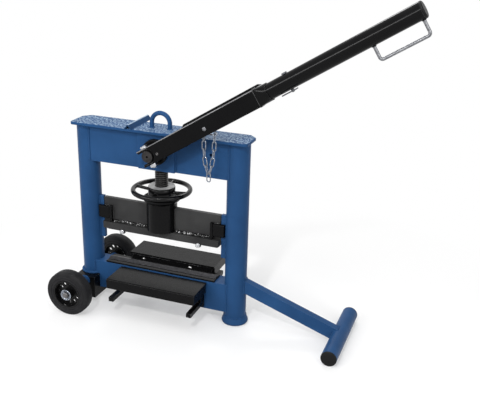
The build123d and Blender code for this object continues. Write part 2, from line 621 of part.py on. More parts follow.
# Yoke lifted by the eccentric, and the spindle that hangs from it
yoke_outline = rectangle(-YOKE_HALF_X, YOKE_HALF_X, YOKE_BOTTOM_Z, YOKE_TOP_Z)
yoke_outline = fillet(yoke_outline.vertices(), YOKE_ROUND)
window = rectangle(-WINDOW_HALF_X, WINDOW_HALF_X, WINDOW_Z - WINDOW_HALF_Z, WINDOW_Z + WINDOW_HALF_Z)
yoke_half_y = BEAM_IN_Y - SLIDE_ROOM
yoke = across_y(yoke_outline - fillet(window.vertices(), YOKE_ROUND), -yoke_half_y, yoke_half_y)
yoke -= rod_z(SPINDLE_SPIGOT_R + WELD_ROOM, YOKE_BOTTOM_Z, YOKE_BOTTOM_Z + YOKE_BOTTOM_WALL)
save("press_yoke", yoke)

neck_r = BEAM_IN_Y - SLIDE_ROOM
neck_z = BEAM_BOTTOM_Z - SPINDLE_NECK_DROP
spindle_half = [(0, SPINDLE_BOTTOM_Z), (SPINDLE_R - SPINDLE_CHAMFER, SPINDLE_BOTTOM_Z),
                (SPINDLE_R, SPINDLE_BOTTOM_Z + SPINDLE_CHAMFER), (SPINDLE_R, neck_z),
                (neck_r, neck_z), (neck_r, YOKE_BOTTOM_Z), (SPINDLE_SPIGOT_R, YOKE_BOTTOM_Z),
                (SPINDLE_SPIGOT_R, YOKE_BOTTOM_Z + SPINDLE_SPIGOT_L), (0, YOKE_BOTTOM_Z + SPINDLE_SPIGOT_L)]
save("spindle", turned(spindle_half))

# Handwheel: its hub flange turns in the barrel, under the barrel's collar
flange_top_z = BARREL_TOP_Z - SLIDE_ROOM
flange_bottom_z = flange_top_z - HUB_FLANGE_T
hub_bottom_z = BARREL_COLLAR_TOP_Z + SLIDE_ROOM
nut_room = NUT_R + WELD_ROOM
hub = turned([(nut_room, flange_bottom_z), (HUB_FLANGE_R, flange_bottom_z), (HUB_FLANGE_R, flange_top_z),
              (HUB_NECK_R, flange_top_z), (HUB_NECK_R, hub_bottom_z), (HUB_R, hub_bottom_z),
              (HUB_R, HUB_TOP_Z), (nut_room, HUB_TOP_Z)])
spoke_out_r = RIM_CENTRE_R
spoke_in_r = (HUB_R + HUB_NECK_R) / 2
spoke_rise = RIM_Z - SPOKE_HUB_Z
spoke_length = math.hypot(spoke_out_r - spoke_in_r, spoke_rise)
spoke_tilt = math.degrees(math.atan2(spoke_rise, spoke_out_r - spoke_in_r))
spoke = Pos(spoke_in_r, 0, SPOKE_HUB_Z) * Rot(0, -spoke_tilt, 0) * rod_x(SPOKE_R, 0, spoke_length)
half_step = 180 / SPOKES
wheel_rim = revolve(Plane.XZ * Pos(RIM_CENTRE_R, RIM_Z) * bar_round(RIM_BAR_R, BAR_SIDES), Axis.Z)
handwheel = Rot(0, 0, half_step) * hub + Rot(0, 0, half_step) * wheel_rim
for turn in range(SPOKES):
    handwheel += Rot(0, 0, turn * 360 / SPOKES) * spoke
save("handwheel", handwheel)

spindle_room = SPINDLE_R + RUNNING_ROOM
save("spindle_nut", turned([(spindle_room, flange_bottom_z), (NUT_R, flange_bottom_z), (NUT_R, HUB_TOP_Z),
                            (NUT_FLANGE_R, HUB_TOP_Z), (NUT_FLANGE_R, HUB_TOP_Z + NUT_FLANGE_T),
                            (spindle_room, HUB_TOP_Z + NUT_FLANGE_T)]))

# Pressing carriage: barrel and collar, web, base, guide cheeks and upper knife
seat_z = flange_bottom_z - SLIDE_ROOM
seat_r = HUB_FLANGE_R + SLIDE_ROOM
save("barrel", turned([(BARREL_BORE_R, BASE_TOP_Z), (BARREL_R, BASE_TOP_Z), (BARREL_R, BARREL_TOP_Z),
                       (seat_r, BARREL_TOP_Z), (seat_r, seat_z), (BARREL_BORE_R, seat_z)]))
collar_bore_r = HUB_NECK_R + SLIDE_ROOM
save("barrel_collar", turned([(collar_bore_r, BARREL_TOP_Z), (BARREL_COLLAR_FOOT_R, BARREL_TOP_Z),
                              (BARREL_COLLAR_R, BARREL_TOP_Z + BARREL_COLLAR_TAPER_H),
                              (BARREL_COLLAR_R, BARREL_COLLAR_TOP_Z - COLLAR_CHAMFER),
                              (BARREL_COLLAR_R - COLLAR_CHAMFER, BARREL_COLLAR_TOP_Z),
                              (collar_bore_r, BARREL_COLLAR_TOP_Z)]))

web = block(-WEB_HALF_X, WEB_HALF_X, -WEB_T / 2, WEB_T / 2, BASE_TOP_Z, WEB_TOP_Z)
save("carriage_web", web - rod_z(BARREL_R + WELD_ROOM, BASE_TOP_Z, WEB_TOP_Z))

base_outline = rectangle(-WEB_HALF_X, WEB_HALF_X, -BASE_HALF_Y, BASE_HALF_Y)
base_outline = fillet(base_outline.vertices(), BASE_ROUND)
base = across_z(base_outline, BASE_BOTTOM_Z, BASE_TOP_Z)
ear_in_y = BASE_HALF_Y - EAR_T
ear_bottom_z = BASE_BOTTOM_Z - EAR_H
knife_bolt_z = (BASE_BOTTOM_Z + ear_bottom_z) / 2
bolt_holes = Part()
for x in (-EAR_X, EAR_X):
    base += both_sides(block(x - EAR_HALF_X, x + EAR_HALF_X, ear_in_y, BASE_HALF_Y,
                             ear_bottom_z, BASE_BOTTOM_Z))
    bolt_holes += rod_y(KNIFE_BOLT_R + HOLE_ROOM, -BASE_HALF_Y, BASE_HALF_Y, x=x, z=knife_bolt_z)
save("carriage_base", base - bolt_holes)

web_y = -WEB_T / 2
cheek = block(CHEEK_IN_X, CHEEK_OUT_X, web_y - CHEEK_T, web_y, CHEEK_BOTTOM_Z, CHEEK_TOP_Z)
cheek = chamfer(cheek.faces().sort_by(Axis.Y)[0].edges(), CHEEK_CHAMFER)
rib = block(CHEEK_IN_X - RIB_W, CHEEK_IN_X, web_y - CHEEK_T, web_y, BASE_TOP_Z, RIB_TOP_Z)
save("guide_cheeks", both_ends(both_sides(cheek)))
save("web_ribs", both_ends(both_sides(rib)))

upper_knife = outline((-ear_in_y, 0), (ear_in_y, 0), (ear_in_y, -UPPER_KNIFE_SIDE_H), (0, -UPPER_KNIFE_H),
                      (-ear_in_y, -UPPER_KNIFE_SIDE_H))
knife = Pos(0, 0, BASE_BOTTOM_Z) * across_x(upper_knife, -KNIFE_HALF_X, KNIFE_HALF_X)
save("upper_knife", knife - bolt_holes)

bolt_end_y = BASE_HALF_Y + KNIFE_BOLT_HEAD_H
knife_bolt = rod_y(KNIFE_BOLT_R, -BASE_HALF_Y, BASE_HALF_Y)
knife_bolt += both_sides(across_y(hexagon(KNIFE_BOLT_FLATS), BASE_HALF_Y, bolt_end_y))
save("knife_bolts", Part() + [Pos(x, 0, knife_bolt_z) * knife_bolt for x in (-EAR_X, EAR_X)])

# Support tables, drawn for the front at their top height and mirrored for the rear
back_y = -BEAM_HALF_Y - SLIDE_ROOM
back_front_y = back_y - TABLE_BACK_T
lip = TABLE_LIP_H
lip_in_y = TABLE_T - TABLE_OUT_Y
table_section = outline((-TABLE_OUT_Y, -lip), (lip_in_y, -lip), (lip_in_y, -TABLE_T),
                        (-TABLE_IN_Y, -TABLE_T), (-TABLE_IN_Y, 0), (-TABLE_OUT_Y, 0))
table_section = fillet(table_section.vertices().group_by(Axis.Y)[-1].sort_by(Axis.X)[:1], TABLE_BEND_R)
table_top = across_x(table_section, -TABLE_LEFT_X, TABLE_RIGHT_X)
for flange_x in (-TABLE_LEFT_X, TABLE_RIGHT_X - TABLE_T):
    table_top += block(flange_x, flange_x + TABLE_T, lip_in_y, back_front_y, -lip, -TABLE_T)

slot_half_w = CLAMP_STUD_R + HOLE_ROOM
arm_left_x = TABLE_ARM_INSET - TABLE_LEFT_X
arm_right_x = TABLE_RIGHT_X - TABLE_ARM_INSET
back_outline = rectangle(arm_left_x, arm_right_x, -TABLE_BACK_DROP, -TABLE_T)
slot_mid = -(TABLE_SLOT_TOP_DROP + TABLE_SLOT_BOTTOM_DROP) / 2
slot_length = TABLE_SLOT_BOTTOM_DROP - TABLE_SLOT_TOP_DROP
back_slot = Rot(0, 0, 90) * SlotOverall(slot_length, 2 * slot_half_w)
for side in (-1, 1):
    back_outline -= Pos(side * TABLE_SLOT_X, slot_mid) * back_slot
arm_in_y = back_front_y - TABLE_ARM_DEPTH
lower_top = TABLE_ARM_LOWER_H - TABLE_ARM_LOWER_DROP
upper_low = -TABLE_T - TABLE_ARM_UPPER_H
upper_tip_low = -TABLE_T - TABLE_ARM_UPPER_H / 2
arm_outline = outline((back_front_y, -TABLE_T), (lip_in_y, -TABLE_T), (lip_in_y, upper_tip_low),
                      (arm_in_y - TABLE_ARM_DEPTH, upper_low), (arm_in_y, upper_low), (arm_in_y, lower_top),
                      (-TABLE_ARM_TIP_Y, lower_top), (-TABLE_ARM_TIP_Y, -TABLE_ARM_LOWER_DROP),
                      (back_front_y, -TABLE_ARM_LOWER_DROP))
arm_outline = fillet(arm_outline.vertices().group_by(Axis.Y)[0].sort_by(Axis.X)[-1:], TABLE_ARM_ROUND)
table_frame = across_y(back_outline, back_front_y, back_y)
for arm_x in (arm_left_x, arm_right_x - TABLE_ARM_W):
    table_frame += across_x(arm_outline, arm_x, arm_x + TABLE_ARM_W)

save("front_table_top", Pos(0, 0, FRONT_TABLE_Z) * table_top)
save("front_table_frame", Pos(0, 0, FRONT_TABLE_Z) * table_frame)
save("rear_table_top", Pos(0, 0, REAR_TABLE_Z) * mirror(table_top, about=Plane.XZ))
save("rear_table_frame", Pos(0, 0, REAR_TABLE_Z) * mirror(table_frame, about=Plane.XZ))

clamp_face_y = back_front_y - SLIDE_ROOM
clamp_washer_y = clamp_face_y - CLAMP_WASHER_T
clamp_nut_y = clamp_washer_y - CLAMP_NUT_H
clamp_bolt = rod_y(CLAMP_STUD_R, clamp_nut_y - CLAMP_STUD_PROUD, -BEAM_HALF_Y)
clamp_bolt += rod_y(CLAMP_WASHER_R, clamp_washer_y, clamp_face_y)
clamp_bolt += across_y(hexagon(CLAMP_NUT_FLATS), clamp_nut_y, clamp_washer_y)
save("table_clamp_bolts", both_sides(both_ends(Pos(TABLE_SLOT_X, 0, CLAMP_BOLT_Z) * clamp_bolt)))

# Lever channel, open at the back, with its clamp round the shaft end
inner_t = CHANNEL_HALF_T - CHANNEL_WALL
web_in_y = CHANNEL_FRONT_Y + CHANNEL_WALL
channel_section = outline((CHANNEL_FRONT_Y, -CHANNEL_HALF_T), (CHANNEL_BACK_Y, -CHANNEL_HALF_T),
                          (CHANNEL_BACK_Y, -inner_t), (web_in_y, -inner_t), (web_in_y, inner_t),
                          (CHANNEL_BACK_Y, inner_t), (CHANNEL_BACK_Y, CHANNEL_HALF_T),
                          (CHANNEL_FRONT_Y, CHANNEL_HALF_T))
channel_section = fillet(channel_section.vertices().group_by(Axis.X)[0], CHANNEL_BEND_R)
channel = across_x(channel_section, CHANNEL_TAIL_S, CHANNEL_END_S)
channel -= rod_y(inner_t, CHANNEL_FRONT_Y, web_in_y)
channel -= block(CHANNEL_TAIL_S, 0, CHANNEL_FRONT_Y, web_in_y, -inner_t, inner_t)
channel -= clamp_hole
channel -= block(CHAIN_SLOT_START_S, CHAIN_SLOT_END_S, web_in_y, web_in_y + CHAIN_SLOT_W,
                 -CHANNEL_HALF_T, -inner_t)
channel -= rod_y(CHAIN_BOLT_R + HOLE_ROOM, CHANNEL_FRONT_Y, web_in_y, x=CHAIN_BOLT_S, z=CHAIN_BOLT_T)
save("lever_channel", on_lever(channel))

packing_in_t = SHAFT_END_R + WELD_ROOM
packing = block(CHANNEL_TAIL_S, PACKING_END_S, web_in_y, CHANNEL_BACK_Y, packing_in_t, inner_t)
packing += mirror(packing, about=Plane.XY)
save("clamp_packing", on_lever(packing - clamp_hole))

head_low = CHANNEL_HALF_T
clamp = rod_z(CLAMP_BOLT_R, -head_low - CLAMP_BOLT_NUT_H - CLAMP_BOLT_PROUD, head_low)
clamp += across_z(hexagon(CLAMP_HEAD_FLATS), head_low, head_low + CLAMP_HEAD_H)
clamp += across_z(hexagon(CLAMP_HEAD_FLATS), -head_low - CLAMP_BOLT_NUT_H, -head_low)
save("clamp_bolt", on_lever(Pos(CLAMP_S, clamp_y, 0) * clamp))

chain_bolt = rod_y(CHAIN_BOLT_R, CHANNEL_FRONT_Y, CHAIN_BOLT_END_Y)
chain_bolt += across_y(hexagon(CHAIN_BOLT_FLATS), CHANNEL_FRONT_Y - CHAIN_BOLT_HEAD_H, CHANNEL_FRONT_Y)
save("chain_bolt", on_lever(Pos(CHAIN_BOLT_S, 0, CHAIN_BOLT_T) * chain_bolt))

# Lever socket, and the tube that is pinned on its stub
socket_square = Plane((CHANNEL_END_S, CHANNEL_MID_Y, 0), x_dir=(0, 1, 0), z_dir=(1, 0, 0)) * fillet(
    Rectangle(CHANNEL_BACK_Y - CHANNEL_FRONT_Y, 2 * CHANNEL_HALF_T).vertices(), CHANNEL_BEND_R)
socket_round = Plane((SOCKET_END_S - SOCKET_LIP_L, CHANNEL_MID_Y, 0), x_dir=(0, 1, 0),
                     z_dir=(1, 0, 0)) * Circle(SOCKET_END_R)
pin_room = PIN_R + WELD_ROOM
pin_hole = rod_z(pin_room, -TUBE_R, TUBE_R, x=PIN_S, y=CHANNEL_MID_Y)
socket = loft([socket_square, socket_round])
socket += rod_x(SOCKET_END_R, SOCKET_END_S - SOCKET_LIP_L, SOCKET_END_S, y=CHANNEL_MID_Y)
socket += rod_x(STUB_R, SOCKET_END_S, STUB_END_S, y=CHANNEL_MID_Y) - pin_hole
save("lever_socket", on_lever(socket))

tube_start_s = SOCKET_END_S + SLIDE_ROOM
tube = rod_x(TUBE_R, tube_start_s, TUBE_END_S, y=CHANNEL_MID_Y)
tube -= rod_x(TUBE_BORE_R, tube_start_s, TUBE_END_S, y=CHANNEL_MID_Y)
save("lever_tube", on_lever(tube - pin_hole))

plug = rod_x(TUBE_R, TUBE_END_S, TUBE_END_S + PLUG_L, y=CHANNEL_MID_Y)
plug = chamfer(plug.edges().group_by(Axis.X)[-1], PLUG_CHAMFER)
plug += rod_x(STUB_R, TUBE_END_S - PLUG_SPIGOT_L, TUBE_END_S, y=CHANNEL_MID_Y)
save("tube_plug", on_lever(plug))

loop_path = FilletPolyline((LOOP_NEAR_S, CHANNEL_MID_Y, -TUBE_BORE_R),
                           (LOOP_NEAR_S, CHANNEL_MID_Y, -LOOP_DROP), (LOOP_FAR_S, CHANNEL_MID_Y, -LOOP_DROP),
                           (LOOP_FAR_S, CHANNEL_MID_Y, -TUBE_BORE_R), radius=LOOP_BEND_R)
loop_start = Pos(LOOP_NEAR_S, CHANNEL_MID_Y, -TUBE_BORE_R)
loop = sweep(loop_start * bar_round(LOOP_BAR_R, BAR_SIDES), path=loop_path)
loop -= rod_x(TUBE_R + WELD_ROOM, tube_start_s, TUBE_END_S, y=CHANNEL_MID_Y)
save("handle_loop", on_lever(loop))

head_t = TUBE_R + WELD_ROOM
pin = rod_z(PIN_R, -PIN_DROP, head_t) + rod_z(PIN_HEAD_R, head_t, head_t + PIN_HEAD_H)
pin -= rod_x(CLIP_WIRE_R + WELD_ROOM, -PIN_R, PIN_R, z=-CLIP_DROP)
save("locking_pin", on_lever(Pos(PIN_S, CHANNEL_MID_Y, 0) * pin))

clip_bend_s = CLIP_NEAR_S + CLIP_HALF_W + CLIP_WIRE_R
clip_far_y = CHANNEL_MID_Y - 2 * CLIP_HALF_W
clip_path = (Line((CLIP_FAR_S, CHANNEL_MID_Y, -CLIP_DROP), (clip_bend_s, CHANNEL_MID_Y, -CLIP_DROP))
             + ThreePointArc((clip_bend_s, CHANNEL_MID_Y, -CLIP_DROP),
                             (clip_bend_s - CLIP_HALF_W, CHANNEL_MID_Y - CLIP_HALF_W, -CLIP_DROP),
                             (clip_bend_s, clip_far_y, -CLIP_DROP))
             + Line((clip_bend_s, clip_far_y, -CLIP_DROP), (CLIP_FAR_S, clip_far_y, -CLIP_DROP)))
clip_start = Plane((CLIP_FAR_S, CHANNEL_MID_Y, -CLIP_DROP), x_dir=(0, 1, 0), z_dir=(-1, 0, 0))
save("spring_clip", on_lever(sweep(clip_start * bar_round(CLIP_WIRE_R, WIRE_SIDES), path=clip_path)))

# Chain: links stepped upward from the end link along two bowed strands, every second one turned.
# Each end of a link is half an octagon round the end's arc.
link_bend_r = LINK_INNER_W / 2 + LINK_WIRE_R
link_end_y = (LINK_PITCH + LINK_GAP) / 2 + LINK_WIRE_R
link_flat = link_bend_r * math.tan(math.pi / 8)
link_side_y = link_end_y - link_bend_r + link_flat
link_path = Polyline((link_bend_r, 0, 0), (link_bend_r, link_side_y, 0), (link_flat, link_end_y, 0),
                     (-link_flat, link_end_y, 0), (-link_bend_r, link_side_y, 0), (-link_bend_r, 0, 0))
link_start = Pos(link_bend_r, 0, 0) * Rot(-90, 0, 0)
link_wire = bar_round(LINK_WIRE_R, WIRE_SIDES)
link_half = sweep(link_start * link_wire, path=link_path, transition=Transition.RIGHT)
link = link_half + mirror(link_half, about=Plane.XZ)


def link_place(low, high, turned_link):
    """The place of a link whose bearing points are low and high, each (x, z) in the plane of the chain."""
    run = high[0] - low[0]
    rise = high[1] - low[1]
    tilt = math.degrees(math.atan2(run, rise))
    middle = Pos((low[0] + high[0]) / 2, CHAIN_Y, (low[1] + high[1]) / 2)
    return middle * Rot(0, tilt, 0) * Rot(0, 0, 90 if turned_link else 0) * Rot(90, 0, 0)


def strand(low, angles, side):
    """Bearing points from the lowest up; angles lean each link outward, lowest last."""
    points = [low]
    for angle in reversed(angles):
        lean = math.radians(angle)
        points.append((points[-1][0] + side * LINK_PITCH * math.sin(lean),
                       points[-1][1] + LINK_PITCH * math.cos(lean)))
    return points


pivot_x = CHAIN_BOLT_S * math.cos(LEVER_RAD) - CHAIN_BOLT_T * math.sin(LEVER_RAD)
pivot_z = SHAFT_Z + CHAIN_BOLT_S * math.sin(LEVER_RAD) + CHAIN_BOLT_T * math.cos(LEVER_RAD)
meet_x = pivot_x + STRAND_MEET_OUT
ring_bar_z = pivot_z - RING_DROP
bar_drop = LINK_GAP / 2 + LINK_WIRE_R
bar_half_gap = LINK_WIRE_R + STRAND_BAR_GAP / 2
strands = []
for side, angles in ((-1, LEFT_STRAND_DEG), (1, RIGHT_STRAND_DEG)):
    strand_rise = sum(LINK_PITCH * math.cos(math.radians(angle)) for angle in angles)
    low_x = meet_x + side * (bar_half_gap + bar_drop * math.sin(math.radians(angles[-1])))
    strands.append(strand((low_x, ring_bar_z + RING_WIRE_R - strand_rise), angles, side))
left_points, right_points = strands

links = []
for points in strands:
    for step in range(len(points) - 1):
        links.append(link_place(points[step], points[step + 1], turned_link=step % 2 == 0) * link)
end_arc_room = LINK_INNER_W / 2 - LINK_WIRE_R - LINK_GAP / 2
end_lift = LINK_INNER_W / 2 - LINK_WIRE_R - math.sqrt(end_arc_room ** 2 - bar_half_gap ** 2)
end_high_z = (left_points[0][1] + right_points[0][1]) / 2 - bar_drop + LINK_WIRE_R + end_lift
end_low_z = end_high_z - LINK_PITCH
links.append(link_place((meet_x, end_low_z), (meet_x, end_high_z), turned_link=False) * link)
save("chain_links", Compound(children=links))

ring_top_z = pivot_z + CHAIN_BOLT_R + RING_WIRE_R + LINK_GAP
ring_left_x = left_points[-1][0] - RING_SIDE_ROOM
ring_right_x = right_points[-1][0] + RING_SIDE_ROOM
ring_path = FilletPolyline((ring_left_x, CHAIN_Y, ring_bar_z), (ring_right_x, CHAIN_Y, ring_bar_z),
                           (pivot_x + CHAIN_BOLT_R, CHAIN_Y, ring_top_z), (ring_left_x, CHAIN_Y, ring_top_z),
                           radius=RING_CORNER_R, close=True)
save("chain_ring", sweep((ring_path ^ 0) * bar_round(RING_WIRE_R, WIRE_SIDES), path=ring_path))
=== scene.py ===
import json
import math
import random

import bpy
from mathutils import Matrix, Vector


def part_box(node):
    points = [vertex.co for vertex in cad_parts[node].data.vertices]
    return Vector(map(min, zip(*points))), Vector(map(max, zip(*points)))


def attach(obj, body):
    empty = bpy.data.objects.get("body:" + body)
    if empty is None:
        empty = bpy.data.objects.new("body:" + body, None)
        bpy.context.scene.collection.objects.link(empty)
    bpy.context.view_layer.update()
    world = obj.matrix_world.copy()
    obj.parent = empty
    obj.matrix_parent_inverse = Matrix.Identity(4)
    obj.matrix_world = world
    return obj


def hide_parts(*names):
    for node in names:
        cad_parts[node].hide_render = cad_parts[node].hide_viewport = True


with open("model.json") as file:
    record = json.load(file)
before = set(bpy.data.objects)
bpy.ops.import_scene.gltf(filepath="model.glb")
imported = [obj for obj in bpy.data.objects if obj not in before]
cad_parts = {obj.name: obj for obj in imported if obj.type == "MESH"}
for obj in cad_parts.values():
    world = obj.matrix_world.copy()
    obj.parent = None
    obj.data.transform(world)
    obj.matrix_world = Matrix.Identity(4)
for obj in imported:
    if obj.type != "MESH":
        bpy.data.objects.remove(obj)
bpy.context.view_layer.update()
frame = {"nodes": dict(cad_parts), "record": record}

rng = random.Random(11)

# Shapes are drawn in mm, from the spindle axis (x, y) and the floor (z), and placed in the row frame in metres.
# On the lever, s runs along it from the shaft axis, y is across it and t points up from it.
MM = 0.001
TURN = 2 * math.pi
X_AXIS, Y_AXIS, Z_AXIS = (1, 0, 0), (0, 1, 0), (0, 0, 1)
SHAFT_Z = 471
LEVER_TILT = math.radians(32.2)
LEVER_Y = -63
POST_X, POST_R = 220, 30
spindle_low, spindle_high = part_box("spindle")
AXIS_X = (spindle_low.x + spindle_high.x) / 2
PLACE = Matrix.Translation((AXIS_X, 0, 0)) @ Matrix.Scale(MM, 4)
ON_LEVER = PLACE @ Matrix.Translation((0, 0, SHAFT_Z)) @ Matrix.Rotation(-LEVER_TILT, 4, "Y")


# Shapes: each function gives (points, faces)
def ring_faces(rings, sides, closed=False):
    """Faces over rings of points; an open row of rings is capped at both ends."""
    faces = []
    for i in range(rings if closed else rings - 1):
        here, there = i * sides, (i + 1) % rings * sides
        for k in range(sides):
            nxt = (k + 1) % sides
            faces.append((here + k, here + nxt, there + nxt, there + k))
    if not closed:
        faces.append(tuple(reversed(range(sides))))
        faces.append(tuple(range((rings - 1) * sides, rings * sides)))
    return faces


def tube(path, radius, sides, closed=False):
    """A round bar along a path; radius is one number, or one for each point."""
    path = [Vector(p) for p in path]
    count = len(path)
    radii = radius if isinstance(radius, list) else [radius] * count
    points, normal = [], None
    for i, middle in enumerate(path):
        before = path[i - 1] if closed or i else path[0]
        after = path[(i + 1) % count] if closed or i < count - 1 else path[-1]
        along = (after - before).normalized()
        normal = normal or along.orthogonal()
        normal = (normal - along * normal.dot(along)).normalized()
        across = along.cross(normal)
        for k in range(sides):
            a = TURN * k / sides
            points.append(middle + radii[i] * (math.cos(a) * normal + math.sin(a) * across))
    return points, ring_faces(count, sides, closed)


def polar(radius, k, sides, z):
    """Point k of a ring with so many sides."""
    a = TURN * k / sides
    return radius * math.cos(a), radius * math.sin(a), z


def lathe(profile, sides, closed=False):
    """A body turned round Z from (radius, z) points, from its low end to its high end."""
    points = [polar(radius, k, sides, z) for radius, z in profile for k in range(sides)]
    return points, ring_faces(len(profile), sides, closed)


def hex_head(flats, height, sides=48):
    """A hexagon head or nut standing on z = 0, its upper corners turned off by a 30 degree cone."""
    step = math.pi / 3
    top_r = flats * 0.46
    dimple_r, dimple_z = top_r * 0.55, height - flats * 0.02
    rings = [[], [], [], []]
    for k in range(sides):
        a = TURN * k / sides
        edge = flats / 2 / math.cos((a + step / 2) % step - step / 2)
        drop = (edge - top_r) * math.tan(math.pi / 6)
        spots = ((edge, 0), (edge, height - drop), (top_r, height), (dimple_r, dimple_z))
        for ring, (radius, z) in zip(rings, spots):
            ring.append(polar(radius, k, sides, z))
    return [p for ring in rings for p in ring], ring_faces(len(rings), sides)


# A thread's groove over its phase: full within 0.18 of the middle, none beyond 0.33
GROOVE_PEAK, GROOVE_SLOPE = 2.2, 6.6


def thread(radius, low, high, pitch, depth, sides=48, rows_a_turn=10):
    """A screw thread with flat crests and roots, its first and last half turn run out to the crest."""
    rows = round((high - low) / pitch * rows_a_turn)
    points = []
    for row in range(rows + 1):
        z = low + (high - low) * row / rows
        fade = min(1, (z - low) / (pitch / 2), (high - z) / (pitch / 2))
        for k in range(sides):
            phase = (z / pitch - k / sides) % 1
            cut = min(1, max(0, GROOVE_PEAK - abs(phase - 0.5) * GROOVE_SLOPE))
            points.append(polar(radius - depth * cut * max(0, fade), k, sides, z))
    return points, ring_faces(rows + 1, sides)


def arc(centre, start, end, axis_a, axis_b, radius, steps):
    """Points on an arc from angle start to angle end, in degrees, in the plane of two unit axes."""
    angles = [math.radians(start + (end - start) * k / steps) for k in range(steps + 1)]
    axis_a, axis_b = Vector(axis_a), Vector(axis_b)
    return [Vector(centre) + radius * (math.cos(a) * axis_a + math.sin(a) * axis_b) for a in angles]


def circle(centre, radius, steps, axis_a=X_AXIS, axis_b=Y_AXIS):
    return arc(centre, 0, 360, axis_a, axis_b, radius, steps)[:-1]


def rounded(corners, radius, steps, closed=False):
    """A path through corners, each turned on an arc."""
    corners = [Vector(c) for c in corners]
    path = []
    for i, corner in enumerate(corners):
        if not closed and i in (0, len(corners) - 1):
            path.append(corner)
            continue
        back = (corners[i - 1] - corner).normalized()
        on = (corners[(i + 1) % len(corners)] - corner).normalized()
        half = back.angle(on) / 2
        centre = corner + (back + on).normalized() * (radius / math.sin(half))
        start = corner + back * (radius / math.tan(half)) - centre
        sweep = math.pi - 2 * half
        axis = back.cross(on)
        path += [centre + Matrix.Rotation(-sweep * k / steps, 3, axis) @ start for k in range(steps + 1)]
    return path


# After its waist a weld's scale has these shares of the bead's radius; an open bead starts and ends thin
SCALE_RISE = (1.0, 1.08, 1.02)
BEAD_END, BEAD_END_STEP, BEAD_SIDES = 0.45, 0.25, 10


def bead(path, radius, closed=False, pitch=2.6, wander=0.05, waist=0.86):
    """A weld bead: a bar whose thickness runs in overlapping scales, each a little off the next."""
    path = [Vector(p) for p in path]
    if closed:
        path.append(path[0])
    lengths = [0]
    for a, b in zip(path, path[1:]):
        lengths.append(lengths[-1] + (b - a).length)
    scale = (waist,) + SCALE_RISE
    count = max(8, round(lengths[-1] / pitch * len(scale)))
    spots, radii, leg = [], [], 0
    for i in range(count if closed else count + 1):
        along = lengths[-1] * i / count
        while lengths[leg + 1] < along - 1e-9:
            leg += 1
        share = (along - lengths[leg]) / (lengths[leg + 1] - lengths[leg])
        spots.append(path[leg].lerp(path[leg + 1], share))
        ripple = scale[i % len(scale)] + rng.uniform(-wander, wander)
        end = 1 if closed else min(1, BEAD_END + min(i, count - i) * BEAD_END_STEP)
        radii.append(radius * ripple * end)
    return tube(spots, radii, BEAD_SIDES, closed)


def moved(shape, place):
    points, faces = shape
    return [place @ Vector(p) for p in points], faces


def joined(*shapes):
    points, faces = [], []
    for some_points, some_faces in shapes:
        base = len(points)
        points += some_points
        faces += [tuple(base + i for i in face) for face in some_faces]
    return points, faces


def at(x, y, z):
    return Matrix.Translation((x, y, z))


FACE_FRONT = Matrix.Rotation(math.pi / 2, 4, "X")      # Z of a shape points to minus Y
FACE_BACK = Matrix.Rotation(-math.pi / 2, 4, "X")      # Z of a shape points to plus Y
FACE_DOWN = Matrix.Rotation(math.pi, 4, "X")


# Materials
def srgb(*levels):
    def linear(level):
        c = level / 255
        return c / 12.92 if c <= 0.04045 else ((c + 0.055) / 1.055) ** 2.4
    return tuple(linear(level) for level in levels) + (1,)


